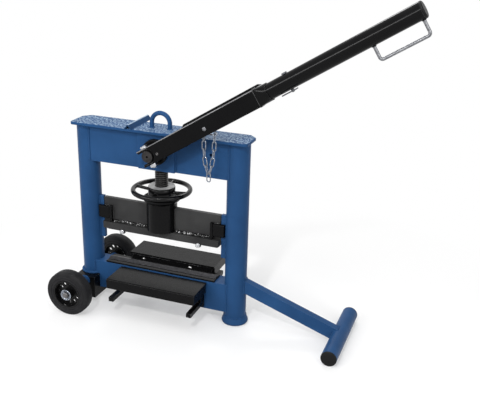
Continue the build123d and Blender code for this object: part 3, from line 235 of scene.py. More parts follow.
class Finish:
    """A material whose nodes read the place on the object; lengths are in metres, scales of noise per metre."""

    def __init__(self, name, metallic=0.0, specular=0.5):
        self.material = bpy.data.materials.new(name)
        self.material.use_nodes = True
        self.nodes = self.material.node_tree.nodes
        self.links = self.material.node_tree.links
        self.shader = self.nodes["Principled BSDF"]
        self.shader.inputs["Metallic"].default_value = metallic
        self.shader.inputs["Specular IOR Level"].default_value = specular
        place = self.nodes.new("ShaderNodeTexCoord")
        self.where, self.facing = place.outputs["Object"], place.outputs["Normal"]

    def node(self, kind, inputs, **settings):
        made = self.nodes.new(kind)
        for key, value in settings.items():
            setattr(made, key, value)
        for key, value in inputs.items():
            if isinstance(value, bpy.types.NodeSocket):
                self.links.new(value, made.inputs[key])
            else:
                made.inputs[key].default_value = value
        return made

    def noise(self, scale, detail, stretch=None):
        where = self.where
        if stretch:
            where = self.node("ShaderNodeMapping", {"Vector": where, "Scale": stretch}).outputs["Vector"]
        return self.node("ShaderNodeTexNoise", {"Vector": where, "Scale": scale, "Detail": detail}).outputs["Fac"]

    def rings(self, centre, direction, scale=420):
        place = self.node("ShaderNodeMapping", {"Vector": self.where, "Location": tuple(-c for c in centre)})
        inputs = {"Vector": place.outputs["Vector"], "Scale": scale, "Distortion": 0.4}
        wave = self.node("ShaderNodeTexWave", inputs, wave_type="RINGS", rings_direction=direction)
        return wave.outputs["Fac"]

    def span(self, value, low, high, to_low=0.0, to_high=1.0):
        made = self.node("ShaderNodeMapRange", {"Value": value, "From Min": low, "From Max": high,
                                                "To Min": to_low, "To Max": to_high})
        return made.outputs["Result"]

    def patches(self, scale, detail, low, high, to_low=0.0, to_high=1.0, stretch=None):
        """Noise spread out: to_low where it is under low, to_high where it is over high."""
        return self.span(self.noise(scale, detail, stretch), low, high, to_low, to_high)

    def times(self, a, b):
        return self.node("ShaderNodeMath", {0: a, 1: b}, operation="MULTIPLY").outputs["Value"]

    def mix(self, share, a, b):
        return self.node("ShaderNodeMix", {0: share, 6: a, 7: b}, data_type="RGBA").outputs[2]

    def dot(self, a, b):
        return self.node("ShaderNodeVectorMath", {0: a, 1: b}, operation="DOT_PRODUCT").outputs["Value"]

    def length(self, vector):
        return self.node("ShaderNodeVectorMath", {0: vector}, operation="LENGTH").outputs["Value"]

    def turned_to(self, direction):
        """How far the surface faces a direction of the object at rest: 1 square on, 0 edge on."""
        return self.dot(self.facing, direction)

    def bump(self, height, strength, distance, under=None):
        inputs = {"Height": height, "Strength": strength, "Distance": distance}
        if under:
            inputs["Normal"] = under
        return self.node("ShaderNodeBump", inputs).outputs["Normal"]

    def edges(self, radius):
        """1 along sharp edges and 0 on open faces."""
        soft = self.node("ShaderNodeBevel", {"Radius": radius}, samples=6).outputs["Normal"]
        true = self.nodes.new("ShaderNodeNewGeometry").outputs["Normal"]
        open_face, sharp_edge = 0.985, 0.82            # how alike the two normals are
        return self.span(self.dot(soft, true), open_face, sharp_edge)

    def use(self, **sockets):
        names = {"colour": "Base Color", "roughness": "Roughness", "normal": "Normal"}
        for key, value in sockets.items():
            self.links.new(value, self.shader.inputs[names[key]])
        return self.material


def paint(name, colour, shade, wear_and_highlight_colour, roughness, peel, specular, upward_specks=None, painted_bend_highlight=None):
    """Sprayed enamel: slow drifts of shade, orange peel, thinner and paler along the edges, the pale being wear
    and, on black paint, also a painted highlight.

    A colour for specks lays pale specks on upward faces. A bend gives two directions, and where the corner
    between them begins and is full; that corner is coloured in the pale edge colour as a painted highlight.
    """
    f = Finish(name, specular=specular)
    drift = f.patches(9, 3, 0.35, 0.65)
    fine = f.patches(700, 2, 0.3, 0.7, 0.0, 0.35)
    body = f.mix(fine, f.mix(drift, colour, shade), shade)
    # Edges paler: wear, and with the pale colours on black paint also a painted highlight.
    wear_and_highlight_share = f.times(f.edges(0.0011), f.patches(60, 4, 0.42, 0.62, 0.15, 0.9))
    # Pale specks on upward faces.
    if upward_specks:
        upward = f.span(f.turned_to(Z_AXIS), 0.7, 0.95)
        speck_share = f.times(upward, f.patches(270, 1, 0.5, 0.55, 0.0, 0.66, stretch=(1, 0.4, 1)))
        body = f.mix(speck_share, body, upward_specks)
    if painted_bend_highlight:
        # Painted highlight: the bent corner between the two directions is coloured pale.
        one_way, other_way, begins, full = painted_bend_highlight
        corner = f.span(f.times(f.turned_to(one_way), f.turned_to(other_way)), begins, full)
        body = f.mix(f.times(corner, f.patches(25, 4, 0.3, 0.6, 0.55, 1.0)), body, wear_and_highlight_colour)
    peel_bump = f.bump(f.noise(300, 2), peel, 0.0006)
    return f.use(colour=f.mix(wear_and_highlight_share, body, wear_and_highlight_colour),
                 roughness=f.patches(45, 3, 0.3, 0.7, roughness - 0.05, roughness + 0.07),
                 normal=f.bump(f.noise(1500, 1), peel * 0.5, 0.0002, peel_bump))


def metal(name, colour, shade, roughness, scratch_stretch=(1, 1, 1), spangle=260, metallic=1.0):
    """Bare or plated metal: cloudy patches and fine scratches."""
    f = Finish(name, metallic=metallic)
    patch = f.patches(spangle, 3, 0.3, 0.7)
    line = f.noise(900, 2, scratch_stretch)
    wear_and_highlight_share = f.times(f.edges(0.0008), f.patches(90, 3, 0.4, 0.6, 0.2, 1.0))
    body = f.mix(patch, colour, shade)
    return f.use(colour=f.mix(wear_and_highlight_share, body, colour),
                 roughness=f.span(line, 0.25, 0.75, roughness - 0.09, roughness + 0.12),
                 normal=f.bump(line, 0.12, 0.0003))


def turned_metal(name, colour, shade, roughness, centre, direction):
    """Lathe-turned steel: fine rings round its axis under a film of oil."""
    f = Finish(name, metallic=0.9)
    ring = f.rings(centre, direction)
    stain = f.patches(70, 3, 0.35, 0.7)
    body = f.mix(stain, colour, shade)
    return f.use(colour=f.mix(f.times(ring, 0.3), body, colour),
                 roughness=f.patches(160, 2, 0.3, 0.7, roughness - 0.06, roughness + 0.1),
                 normal=f.bump(ring, 0.25, 0.0003))


def moulded(name, colour, dust, roughness, grain, grain_scale, dust_share):
    """Moulded plastic or rubber: a fine grain, with pale dust in soft patches."""
    f = Finish(name, specular=0.16)
    patch = f.patches(38, 4, 0.45, 0.75, 0.0, dust_share)
    speck = f.patches(1100, 2, 0.45, 0.75, 0.0, 0.5)
    body = f.mix(f.times(patch, speck), f.mix(patch, colour, dust), dust)
    edge = f.times(f.edges(0.001), 0.25)
    return f.use(colour=f.mix(edge, body, dust),
                 roughness=f.patches(120, 3, 0.3, 0.7, roughness - 0.07, roughness + 0.08),
                 normal=f.bump(f.noise(grain_scale, 3), grain, 0.0004))


def threaded(name, root, crest_highlight, root_r, crest_r):
    """An upright screw: oily and dark in its thread, with a painted highlight on the crests."""
    f = Finish(name, metallic=0.6)
    place = f.node("ShaderNodeMapping", {"Vector": f.where, "Location": (-AXIS_X, 0, 0), "Scale": (1, 1, 0)})
    out = f.span(f.length(place.outputs["Vector"]), root_r * MM, crest_r * MM)
    # Painted highlight: the crests are coloured paler than the roots.
    wear_and_highlight_share = f.times(out, f.patches(150, 3, 0.35, 0.65, 0.55, 1.0))
    return f.use(colour=f.mix(wear_and_highlight_share, root, crest_highlight), roughness=f.patches(300, 2, 0.3, 0.7, 0.24, 0.42),
                 normal=f.bump(f.noise(900, 2), 0.1, 0.0002))


def faced(name, face, side):
    """A painted casting with its upward face turned bare."""
    f = Finish(name, specular=0.25)
    bare = f.span(f.turned_to(Z_AXIS), 0.8, 0.9)
    ring = f.rings(spindle_middle, "Z")
    tone = f.mix(f.times(f.patches(90, 3, 0.3, 0.7), 0.4), face, side)
    return f.use(colour=f.mix(bare, side, tone), roughness=f.span(bare, 0.0, 1.0, 0.22, 0.5),
                 normal=f.bump(f.times(ring, bare), 0.2, 0.0002))


def lumpy(name, dark, painted_glint):
    """A coarse painted weld with bright spots, which are painted glints."""
    f = Finish(name, specular=0.4)
    return f.use(colour=f.mix(f.patches(240, 2, 0.57, 0.64), dark, painted_glint),
                 roughness=f.patches(300, 2, 0.3, 0.7, 0.16, 0.3), normal=f.bump(f.noise(500, 2), 0.3, 0.0005))


axle_low, axle_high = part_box("axle")
axle_middle = (axle_low + axle_high) / 2
shaft_middle = PLACE @ Vector((0, 0, SHAFT_Z))
spindle_middle = PLACE @ Vector((0, 0, 0))
lever_up = (-math.sin(LEVER_TILT), 0, math.cos(LEVER_TILT))
TO_FRONT = (0, -1, 0)

BLUE = srgb(41, 79, 124), srgb(35, 69, 110), srgb(84, 120, 160)          # colour, shade, worn
# Lever rest: colour, shade, and the pale of its edges and upward faces, a painted highlight on the upward faces.
REST_BLUE = srgb(36, 70, 110), srgb(28, 56, 90), srgb(164, 184, 205)
PRIMER = srgb(60, 60, 60), srgb(36, 36, 37), srgb(100, 100, 100)
BLACK = srgb(12, 12, 13), srgb(9, 9, 10)                                 # colour, shade
TUBE_BLACK = srgb(14, 14, 15), srgb(11, 11, 12)
# Pale edge colours for dark paints: wear, and also a painted highlight.
PALE_WEAR_AND_HIGHLIGHT, MID_WEAR_AND_HIGHLIGHT, DARK_WEAR_AND_HIGHLIGHT = srgb(150, 150, 152), srgb(128, 128, 130), srgb(110, 110, 111)

# By material slot
FINISHES = {
    "blue_paint": paint("blue_paint", *BLUE, roughness=0.36, peel=0.5, specular=0.07),
    "black_paint": paint("black_paint", *BLACK, MID_WEAR_AND_HIGHLIGHT, roughness=0.27, peel=0.08, specular=0.1),
    "grey_primer": paint("grey_primer", *PRIMER, roughness=0.5, peel=0.35, specular=0.2),
    "knife_steel": metal("knife_steel", srgb(66, 66, 69), srgb(44, 44, 46), 0.42, (0.05, 1, 1), 120, 0.85),
    "turned_steel": turned_metal("turned_steel", srgb(120, 118, 118), srgb(84, 82, 82), 0.4, axle_middle, "Y"),
    "zinc": metal("zinc", srgb(170, 176, 186), srgb(96, 101, 110), 0.24),
    "bronze": turned_metal("bronze", srgb(186, 142, 86), srgb(142, 104, 58), 0.4, shaft_middle, "Y"),
    "tyre_rubber": moulded("tyre_rubber", srgb(25, 25, 27), srgb(56, 56, 56), 0.62, 0.4, 650, 0.3),
    "rim_plastic": moulded("rim_plastic", srgb(14, 14, 15), srgb(56, 56, 56), 0.26, 0.1, 900, 0.1),
    "cap_plastic": moulded("cap_plastic", srgb(14, 14, 15), srgb(48, 48, 49), 0.45, 0.4, 800, 0.12),
}

# For single nodes and pieces
specked_blue = paint("specked_blue", *BLUE, roughness=0.42, peel=0.6, specular=0.05, upward_specks=srgb(160, 184, 205))
# The bend paints the rest's upward faces pale: a painted highlight.
rest_blue = paint("rest_blue", *REST_BLUE, roughness=0.42, peel=0.6, specular=0.05,
                  painted_bend_highlight=(Z_AXIS, Z_AXIS, 0.43, 0.56))
gloss_black = paint("gloss_black", *BLACK, DARK_WEAR_AND_HIGHLIGHT, roughness=0.19, peel=0.08, specular=0.11)
rim_gloss = paint("rim_gloss", *BLACK, DARK_WEAR_AND_HIGHLIGHT, roughness=0.15, peel=0.04, specular=0.2)
# The bend paints the channel's front-top corner pale: a painted highlight.
lever_black = paint("lever_black", *BLACK, PALE_WEAR_AND_HIGHLIGHT, roughness=0.27, peel=0.08, specular=0.08,
                    painted_bend_highlight=(TO_FRONT, lever_up, 0.38, 0.49))
tube_black = paint("tube_black", *TUBE_BLACK, MID_WEAR_AND_HIGHLIGHT, roughness=0.11, peel=0.01, specular=0.1)
weld_black = paint("weld_black", srgb(12, 12, 13), srgb(8, 8, 9), srgb(40, 40, 41),
                   roughness=0.1, peel=0.02, specular=0.7)
# Pale grey weld at the lever socket: a painted highlight on its beads.
pale_grey_weld = paint("pale_grey_weld", srgb(84, 84, 86), srgb(44, 44, 45), PALE_WEAR_AND_HIGHLIGHT,
                    roughness=0.3, peel=0.2, specular=0.3)
lumpy_weld = lumpy("lumpy_weld", srgb(10, 10, 11), srgb(205, 205, 206))
bright_zinc = metal("bright_zinc", srgb(226, 227, 229), srgb(170, 172, 176), 0.26)
dull_zinc = metal("dull_zinc", srgb(150, 151, 154), srgb(104, 105, 109), 0.36)
dark_zinc = metal("dark_zinc", srgb(104, 106, 110), srgb(62, 64, 68), 0.34)
dark_shaft = turned_metal("dark_shaft", srgb(60, 58, 58), srgb(40, 39, 39), 0.44, shaft_middle, "Y")
oiled_thread = threaded("oiled_thread", srgb(14, 14, 14), srgb(78, 77, 76), root_r=16.6, crest_r=18.0)
nut_face = faced("nut_face", srgb(182, 182, 182), srgb(12, 12, 13))
OWN_FINISH = {"top_plate": specked_blue, "lever_rest": rest_blue, "eccentric_shaft": dark_shaft,
              "spindle_nut": nut_face, "barrel": gloss_black, "barrel_collar": gloss_black,
              "lever_channel": lever_black, "lever_tube": tube_black, "lever_socket": tube_black}

# Carried-over CAD nodes: edges rounded by modifiers
clean = bpy.data.node_groups.new("clean_surface", "GeometryNodeTree")
clean.interface.new_socket("Geometry", in_out="INPUT", socket_type="NodeSocketGeometry")
clean.interface.new_socket("Geometry", in_out="OUTPUT", socket_type="NodeSocketGeometry")
merge = clean.nodes.new("GeometryNodeMergeByDistance")
merge.inputs["Distance"].default_value = 1e-5
smooth = clean.nodes.new("GeometryNodeSetMeshNormal")
smooth.inputs["Remove Custom"].default_value = True
smooth.inputs["Edge Sharpness"].default_value = False
smooth.inputs["Face Sharpness"].default_value = False
clean_in = clean.nodes.new("NodeGroupInput")
clean_out = clean.nodes.new("NodeGroupOutput")
clean.links.new(clean_in.outputs[0], merge.inputs["Geometry"])
clean.links.new(merge.outputs[0], smooth.inputs["Mesh"])
clean.links.new(smooth.outputs[0], clean_out.inputs[0])

PLAIN_EDGE = 0.6
EDGE_ROUND = {"top_plate": 1.4, "support_leg": 2.2, "lever_channel": 0.8, "handwheel": 0.5, "carriage_base": 1.0,
              "foot_tube_caps": 1.0, "tube_plug": 0.8, "right_foot": 0.8, "chain_links": 0, "axle_carrier": 1.2,
              "lower_beam": 1.6, "front_table_frame": 0.8, "rear_table_frame": 0.8}
FLAT_WITHIN, SHARP_FROM = math.radians(0.4), math.radians(32)


def finish_node(name, obj, material):
    obj.data.materials.clear()
    obj.data.materials.append(material)
    cleaning = obj.modifiers.new("clean", "NODES")
    cleaning.node_group = clean
    flat = obj.modifiers.new("flat", "DECIMATE")
    flat.decimate_type = "DISSOLVE"
    flat.angle_limit = FLAT_WITHIN
    round_edge = obj.modifiers.new("edge", "BEVEL")
    round_edge.width = EDGE_ROUND.get(name, PLAIN_EDGE) * MM
    round_edge.segments = 2
    round_edge.limit_method = "ANGLE"
    round_edge.angle_limit = SHARP_FROM
    round_edge.use_clamp_overlap = True
    flat_normals = obj.modifiers.new("flat_normals", "WEIGHTED_NORMAL")
    flat_normals.keep_sharp = True


for part in frame["record"]["subparts"]:
    name = part["node"]
    finish_node(name, frame["nodes"][name], OWN_FINISH.get(name, FINISHES[part["material_slot"]]))


SMOOTH_BEAD = 80                                       # the sharp angle for weld beads


def piece(name, shape, material, body, stands_for=(), place=PLACE, sharp=38):
    """One visible mesh that rides on a body and can stand for CAD nodes; sharp is an angle in degrees."""
    points, faces = shape
    mesh = bpy.data.meshes.new(name)
    mesh.from_pydata([place @ Vector(p) for p in points], [], faces)
    mesh.validate()
    mesh.materials.append(material)
    mesh.shade_smooth()
    mesh.set_sharp_from_angle(angle=math.radians(sharp))
    obj = bpy.data.objects.new(name, mesh)
    bpy.context.scene.collection.objects.link(obj)
    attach(obj, body)
    if stands_for:
        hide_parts(*stands_for)


# Lifting eye: one bent round bar
EYE_R, EYE_BEND_R, TOP_Z, EYE_BEND_Z = 6, 26, 526, 541
eye_path = [(-EYE_BEND_R, 0, TOP_Z)] + arc((0, 0, EYE_BEND_Z), 180, 0, X_AXIS, Z_AXIS, EYE_BEND_R, 32)
eye_path.append((EYE_BEND_R, 0, TOP_Z))
piece("lifting_eye_bar", tube(eye_path, EYE_R, 24), FINISHES["blue_paint"], "frame", ["crane_eye"])

# Handle loop, locking pin and spring clip on the lever tube
LOOP_NEAR, LOOP_FAR, LOOP_TOP, LOOP_DROP, LOOP_BAR_R, LOOP_BEND, TUBE_R = 637, 756, -17, 54.5, 4, 7, 20
loop_path = rounded([(LOOP_NEAR, LEVER_Y, LOOP_TOP), (LOOP_NEAR, LEVER_Y, -LOOP_DROP),
                     (LOOP_FAR, LEVER_Y, -LOOP_DROP), (LOOP_FAR, LEVER_Y, LOOP_TOP)], LOOP_BEND, 10)
piece("handle_loop_bar", tube(loop_path, LOOP_BAR_R, 20), dull_zinc, "lever", ["handle_loop"], ON_LEVER)

PIN_S, PIN_R, PIN_HEAD_R = 424, 4, 7
pin = lathe([(2.6, -27), (PIN_R, -25.4), (PIN_R, 20.2), (PIN_HEAD_R, 20.2), (PIN_HEAD_R, 22.2), (6.2, 23.3),
             (4.6, 23.65), (0.4, 23.65)], 40)
piece("locking_pin_turned", moved(pin, at(PIN_S, LEVER_Y, 0)), dark_zinc, "lever", ["locking_pin"],
      ON_LEVER)

CLIP_T, CLIP_R, CLIP_BEND, CLIP_END, CLIP_WIRE_R = -23.4, 5.5, 401.9, 438, 1.4
clip_path = [(CLIP_END, LEVER_Y, CLIP_T)]
clip_path += arc((CLIP_BEND, LEVER_Y - CLIP_R, CLIP_T), 90, 270, X_AXIS, Y_AXIS, CLIP_R, 16)
clip_path.append((CLIP_END, LEVER_Y - 2 * CLIP_R, CLIP_T))
piece("spring_clip_wire", tube(clip_path, CLIP_WIRE_R, 12), dark_zinc, "lever", ["spring_clip"], ON_LEVER)

# Chain: links stepped upward from the end link along two bowed strands, every second one turned
CHAIN_Y, LINK_R, LINK_PITCH, LINK_GAP, LINK_INNER_W = -68, 1.4, 21.2, 0.3, 6.6
LEFT_LEAN, RIGHT_LEAN = (0.5, 1, 4, 10, 17), (0.5, 2, 6, 10, 15)
BOLT_S, BOLT_T, BOLT_R = 181.6, -5.2, 4
RING_R, RING_DROP, RING_ROOM, RING_BEND, MEET_X, BAR_GAP = 2.2, 16, 12, 3, 164.3, 0.4
bolt_x = BOLT_S * math.cos(LEVER_TILT) - BOLT_T * math.sin(LEVER_TILT)
bolt_z = SHAFT_Z + BOLT_S * math.sin(LEVER_TILT) + BOLT_T * math.cos(LEVER_TILT)
link_bend = LINK_INNER_W / 2 + LINK_R
link_straight = LINK_PITCH + LINK_GAP + 2 * LINK_R - 2 * link_bend
link_path = arc((0, link_straight / 2, 0), 0, 180, X_AXIS, Y_AXIS, link_bend, 10)
link_path += arc((0, -link_straight / 2, 0), 180, 360, X_AXIS, Y_AXIS, link_bend, 10)
SEAM_SWELL = (0, 0.08, 0.16, 0.08, 0)                  # along the side with the welded seam
seam_steps = len(SEAM_SWELL) + 1
link_path += [Vector((link_bend, link_straight * (k / seam_steps - 0.5), 0)) for k in range(1, seam_steps)]
seam_radii = [LINK_R * (1 + swell) for swell in SEAM_SWELL]
link_shape = tube(link_path, [LINK_R] * (len(link_path) - len(seam_radii)) + seam_radii, 12, closed=True)


def strand(low, leans, side):
    """Places between the links of one strand, from its low end upward."""
    points = [low]
    for lean in reversed(leans):
        a = math.radians(lean)
        x, z = points[-1]
        points.append((x + side * LINK_PITCH * math.sin(a), z + LINK_PITCH * math.cos(a)))
    return points


def link_place(low, high, turned):
    """Where a link lies that reaches from one place to the next."""
    tilt = math.atan2(high[0] - low[0], high[1] - low[1])
    return (at((low[0] + high[0]) / 2, CHAIN_Y, (low[1] + high[1]) / 2) @ Matrix.Rotation(tilt, 4, "Y")
            @ Matrix.Rotation(math.pi / 2 if turned else 0, 4, "Z") @ FACE_FRONT)


bar_z = bolt_z - RING_DROP
bar_half_gap = LINK_R + BAR_GAP / 2
bar_drop = LINK_GAP / 2 + LINK_R
strands = []
for side, leans in ((-1, LEFT_LEAN), (1, RIGHT_LEAN)):
    rise = sum(LINK_PITCH * math.cos(math.radians(lean)) for lean in leans)
    low_x = MEET_X + side * (bar_half_gap + bar_drop * math.sin(math.radians(leans[-1])))
    strands.append(strand((low_x, bar_z + RING_R - rise), leans, side))
links = []
for points in strands:
    for step in range(len(points) - 1):
        links.append(moved(link_shape, link_place(points[step], points[step + 1], step % 2 == 0)))
end_room = LINK_INNER_W / 2 - LINK_R - LINK_GAP / 2
end_lift = LINK_INNER_W / 2 - LINK_R - math.sqrt(end_room ** 2 - bar_half_gap ** 2)
end_high = (strands[0][0][1] + strands[1][0][1]) / 2 - bar_drop + LINK_R + end_lift
links.append(moved(link_shape, link_place((MEET_X, end_high - LINK_PITCH), (MEET_X, end_high), False)))
piece("chain_links_round", joined(*links), FINISHES["zinc"], "chain", ["chain_links"])

ring_left = strands[0][-1][0] - RING_ROOM
ring_right = strands[1][-1][0] + RING_ROOM
ring_top = bolt_z + BOLT_R + RING_R + LINK_GAP
ring_path = rounded([(ring_left, CHAIN_Y, bar_z), (ring_right, CHAIN_Y, bar_z),
                     (bolt_x + BOLT_R, CHAIN_Y, ring_top), (ring_left, CHAIN_Y, ring_top)],
                    RING_BEND, 8, closed=True)
piece("chain_ring_wire", tube(ring_path, RING_R, 14, closed=True), FINISHES["zinc"], "chain",
      ["chain_ring"])

# Handwheel: round rim, four spokes that swell into it and into the hub, and a turned hub
RIM_R, RIM_BAR_R, RIM_Z, SPOKE_Z, SPOKE_IN_R, SPOKE_STEPS = 77, 6.5, 355, 351, 33, 14
SPOKE_R, HUB_SWELL, HUB_SWELL_END, RIM_SWELL, RIM_SWELL_START = 4.5, 1.3, 0.2, 1.1, 0.74
wheel = [tube(circle((0, 0, RIM_Z), RIM_R, 112), RIM_BAR_R, 24, closed=True)]
wheel.append(lathe([(24.2, 312.2), (36, 312.2), (36, 321.4), (27.9, 321.4), (27.9, 335.6), (36, 335.6),
                    (37, 336.6), (37, 363), (36.4, 363.9), (24.2, 363.9)], 96, closed=True))
spoke, spoke_radii = [], []
for i in range(SPOKE_STEPS + 1):
    share = i / SPOKE_STEPS
    spoke.append((SPOKE_IN_R + (RIM_R - SPOKE_IN_R) * share, 0, SPOKE_Z + (RIM_Z - SPOKE_Z) * share))
    near_hub = max(0, 1 - share / HUB_SWELL_END)
    near_rim = max(0, (share - RIM_SWELL_START) / (1 - RIM_SWELL_START))
    spoke_radii.append(SPOKE_R + HUB_SWELL * near_hub ** 2 + RIM_SWELL * near_rim ** 2)
for k in range(4):
    wheel.append(moved(tube(spoke, spoke_radii, 18), Matrix.Rotation(TURN * k / 4, 4, "Z")))
piece("handwheel_round", joined(*wheel), rim_gloss, "handwheel", ["handwheel"])

# Spindle with its thread
SPINDLE_R, SPINDLE_LOW, NECK_Z, NECK_R, SPIGOT_R, SPIGOT_H = 18, 280, 412, 17.6, 12, 19.9
THREAD_LOW, THREAD_PITCH, THREAD_DEPTH, LEAD_IN_R = 286, 6, 1.9, 17.4
yoke_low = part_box("press_yoke")[0].z / MM
yoke_in = yoke_low + SPIGOT_H
spindle = joined(lathe([(8, SPINDLE_LOW), (15.6, SPINDLE_LOW), (LEAD_IN_R, SPINDLE_LOW + 2),
                        (LEAD_IN_R, THREAD_LOW + 0.2)], 48),
                 thread(SPINDLE_R, THREAD_LOW, NECK_Z, THREAD_PITCH, THREAD_DEPTH),
                 lathe([(14, NECK_Z - 0.2), (17, NECK_Z - 0.2), (NECK_R, NECK_Z + 0.4), (NECK_R, yoke_low),
                        (SPIGOT_R, yoke_low), (SPIGOT_R, yoke_in), (6, yoke_in)], 48))
piece("spindle_thread", spindle, oiled_thread, "press", ["spindle"])

# Tyres: crowned tread with a parting line, beaded sidewalls
AXLE_Z, TYRE_IN_Y, TYRE_W, TYRE_R, PARTING = 64, 118, 37, 64, 18.3
side_profile = [(41, 1.2), (41.6, 0.3), (43.4, 0.1), (44.4, 0.7), (45.2, 1.5), (48.8, 1.6), (49.5, 0.8),
                (50.4, 0.5), (51.3, 0.8), (52, 1.6), (55, 1.7), (57.4, 1.9), (60.4, 2.7), (62.2, 3.9),
                (63.2, 5.4), (62.7, 5.9), (62.7, 7.1), (63.6, 7.6), (63.9, 15), (63.9, 18)]
tyre_profile = side_profile + [(TYRE_R, PARTING), (TYRE_R, TYRE_W - PARTING)]
tyre_profile += [(r, TYRE_W - z) for r, z in reversed(side_profile)]
tyre = lathe(tyre_profile, 112, closed=True)
for name, y, body in (("front_tyre", -TYRE_IN_Y, "front_wheel"), ("rear_tyre", TYRE_IN_Y + TYRE_W, "rear_wheel")):
    piece(name + "_moulded", moved(tyre, at(-POST_X, y, AXLE_Z) @ FACE_FRONT), FINISHES["tyre_rubber"], body,
          [name], sharp=60)


# Fasteners
def washer(outer, inner, thick):
    edge = 0.3
    return lathe([(inner, 0), (outer - edge, 0), (outer, edge), (outer, thick - edge), (outer - edge, thick),
                  (inner, thick)], 48, closed=True)


def threaded_end(radius, low, high):
    """A short stretch of metric thread with a turned-off tip."""
    pitch = radius * 0.3
    core_r = radius * 0.82
    return joined(thread(radius, low, high - pitch / 2, pitch, pitch * 0.55, 32, 8),
                  lathe([(core_r, high - pitch), (core_r, high - 0.4), (radius * 0.7, high)], 32))


EAR_X, EAR_FACE_Y, KNIFE_BOLT_Z, KNIFE_BOLT_R, KNIFE_WASHER = 115, 20, 218, 3, 0.9
bolt_head = joined(washer(outer=6.2, inner=3.2, thick=KNIFE_WASHER),
                   moved(hex_head(flats=10, height=3.1), at(0, 0, KNIFE_WASHER)))
bolt_nut = joined(bolt_head, threaded_end(KNIFE_BOLT_R, low=2, high=5.4))
bolt_shank = lathe([(KNIFE_BOLT_R, -EAR_FACE_Y), (KNIFE_BOLT_R, EAR_FACE_Y)], 32)
knife_bolts = []
for x in (-EAR_X, EAR_X):
    knife_bolts.append(moved(bolt_head, at(x, -EAR_FACE_Y, KNIFE_BOLT_Z) @ FACE_FRONT))
    knife_bolts.append(moved(bolt_nut, at(x, EAR_FACE_Y, KNIFE_BOLT_Z) @ FACE_BACK))
    knife_bolts.append(moved(bolt_shank, at(x, 0, KNIFE_BOLT_Z) @ FACE_BACK))
piece("knife_bolts_hex", joined(*knife_bolts), bright_zinc, "carriage", ["knife_bolts"])

CLAMP_FACE_Y, BEAM_HALF_Y, TABLE_BOLT_X, TABLE_BOLT_Z, TABLE_BOLT_R, TABLE_WASHER = 32.8, 25, 72, 88, 6, 2.5
table_bolt = joined(washer(outer=12, inner=6.1, thick=TABLE_WASHER),
                    moved(hex_head(flats=18, height=9), at(0, 0, TABLE_WASHER)),
                    threaded_end(TABLE_BOLT_R, low=7, high=13.5),
                    lathe([(TABLE_BOLT_R, BEAM_HALF_Y - CLAMP_FACE_Y), (TABLE_BOLT_R, 7.2)], 32))
table_bolts = []
for x in (-TABLE_BOLT_X, TABLE_BOLT_X):
    table_bolts.append(moved(table_bolt, at(x, -CLAMP_FACE_Y, TABLE_BOLT_Z) @ FACE_FRONT))
    table_bolts.append(moved(table_bolt, at(x, CLAMP_FACE_Y, TABLE_BOLT_Z) @ FACE_BACK))
piece("table_bolts_hex", joined(*table_bolts), FINISHES["zinc"], "frame", ["table_clamp_bolts"])

CLAMP_S, CLAMP_R, CLAMP_FLATS, CLAMP_WASHER, CHANNEL_T, CHANNEL_FRONT = -6, 5, 17, 1.6, 23, -81
clamp_washer = washer(outer=9.5, inner=5.2, thick=CLAMP_WASHER)
clamp = joined(moved(clamp_washer, at(0, 0, CHANNEL_T)),
               moved(hex_head(CLAMP_FLATS, height=4.8), at(0, 0, CHANNEL_T + CLAMP_WASHER)),
               lathe([(CLAMP_R, -CHANNEL_T - 6), (CLAMP_R, CHANNEL_T + 2)], 32),
               moved(clamp_washer, FACE_DOWN @ at(0, 0, CHANNEL_T)),
               moved(hex_head(CLAMP_FLATS, height=6.4), FACE_DOWN @ at(0, 0, CHANNEL_T + CLAMP_WASHER)),
               moved(threaded_end(CLAMP_R, low=4, high=11), FACE_DOWN @ at(0, 0, CHANNEL_T)))
piece("clamp_bolt_hex", moved(clamp, at(CLAMP_S, LEVER_Y, 0)), bright_zinc, "lever", ["clamp_bolt"],
      ON_LEVER)

SOCKET_R, SOCKET_FLOOR = 2.5, 1.5
button = lathe([(5.3, 0), (5.5, 0.5), (5.3, 1.6), (4.6, 2.8), (3.4, 3.7), (2.7, 3.9), (SOCKET_R, 3.8),
                (SOCKET_R, SOCKET_FLOOR), (0.3, SOCKET_FLOOR)], 48)
chain_bolt = joined(button, lathe([(3.6, -25), (BOLT_R, -24.4), (BOLT_R, 0.2)], 32))
piece("chain_bolt_button", moved(chain_bolt, at(BOLT_S, CHANNEL_FRONT, BOLT_T) @ FACE_FRONT), dull_zinc, "lever",
      ["chain_bolt"], ON_LEVER)

SCREW_S, SCREW_T = 29, -5
screw = lathe([(3.6, -1), (3.6, 0.5), (3.2, 0.9), (1.9, 0.95), (1.7, 0.8), (1.6, -0.4), (0.2, -0.5)], 36)
piece("channel_screw", moved(screw, at(SCREW_S, CHANNEL_FRONT, SCREW_T) @ FACE_FRONT), FINISHES["turned_steel"],
      "lever", place=ON_LEVER)

# Dished hub washers on the axle, and split pins through its ends
WASHER_Y, SPLIT_PIN_Y = 155.4, 160.2
dished = lathe([(8.5, 0), (15.6, 0), (16, 0.4), (16, 2.2), (15.3, 3), (12.4, 3), (11.6, 2.5), (10.6, 1.5),
                (8.5, 1.3)], 64, closed=True)
piece("hub_washers_dished", joined(moved(dished, at(-POST_X, -WASHER_Y, AXLE_Z) @ FACE_FRONT),
                                   moved(dished, at(-POST_X, WASHER_Y, AXLE_Z) @ FACE_BACK)),
      FINISHES["zinc"], "frame", ["hub_washers"])

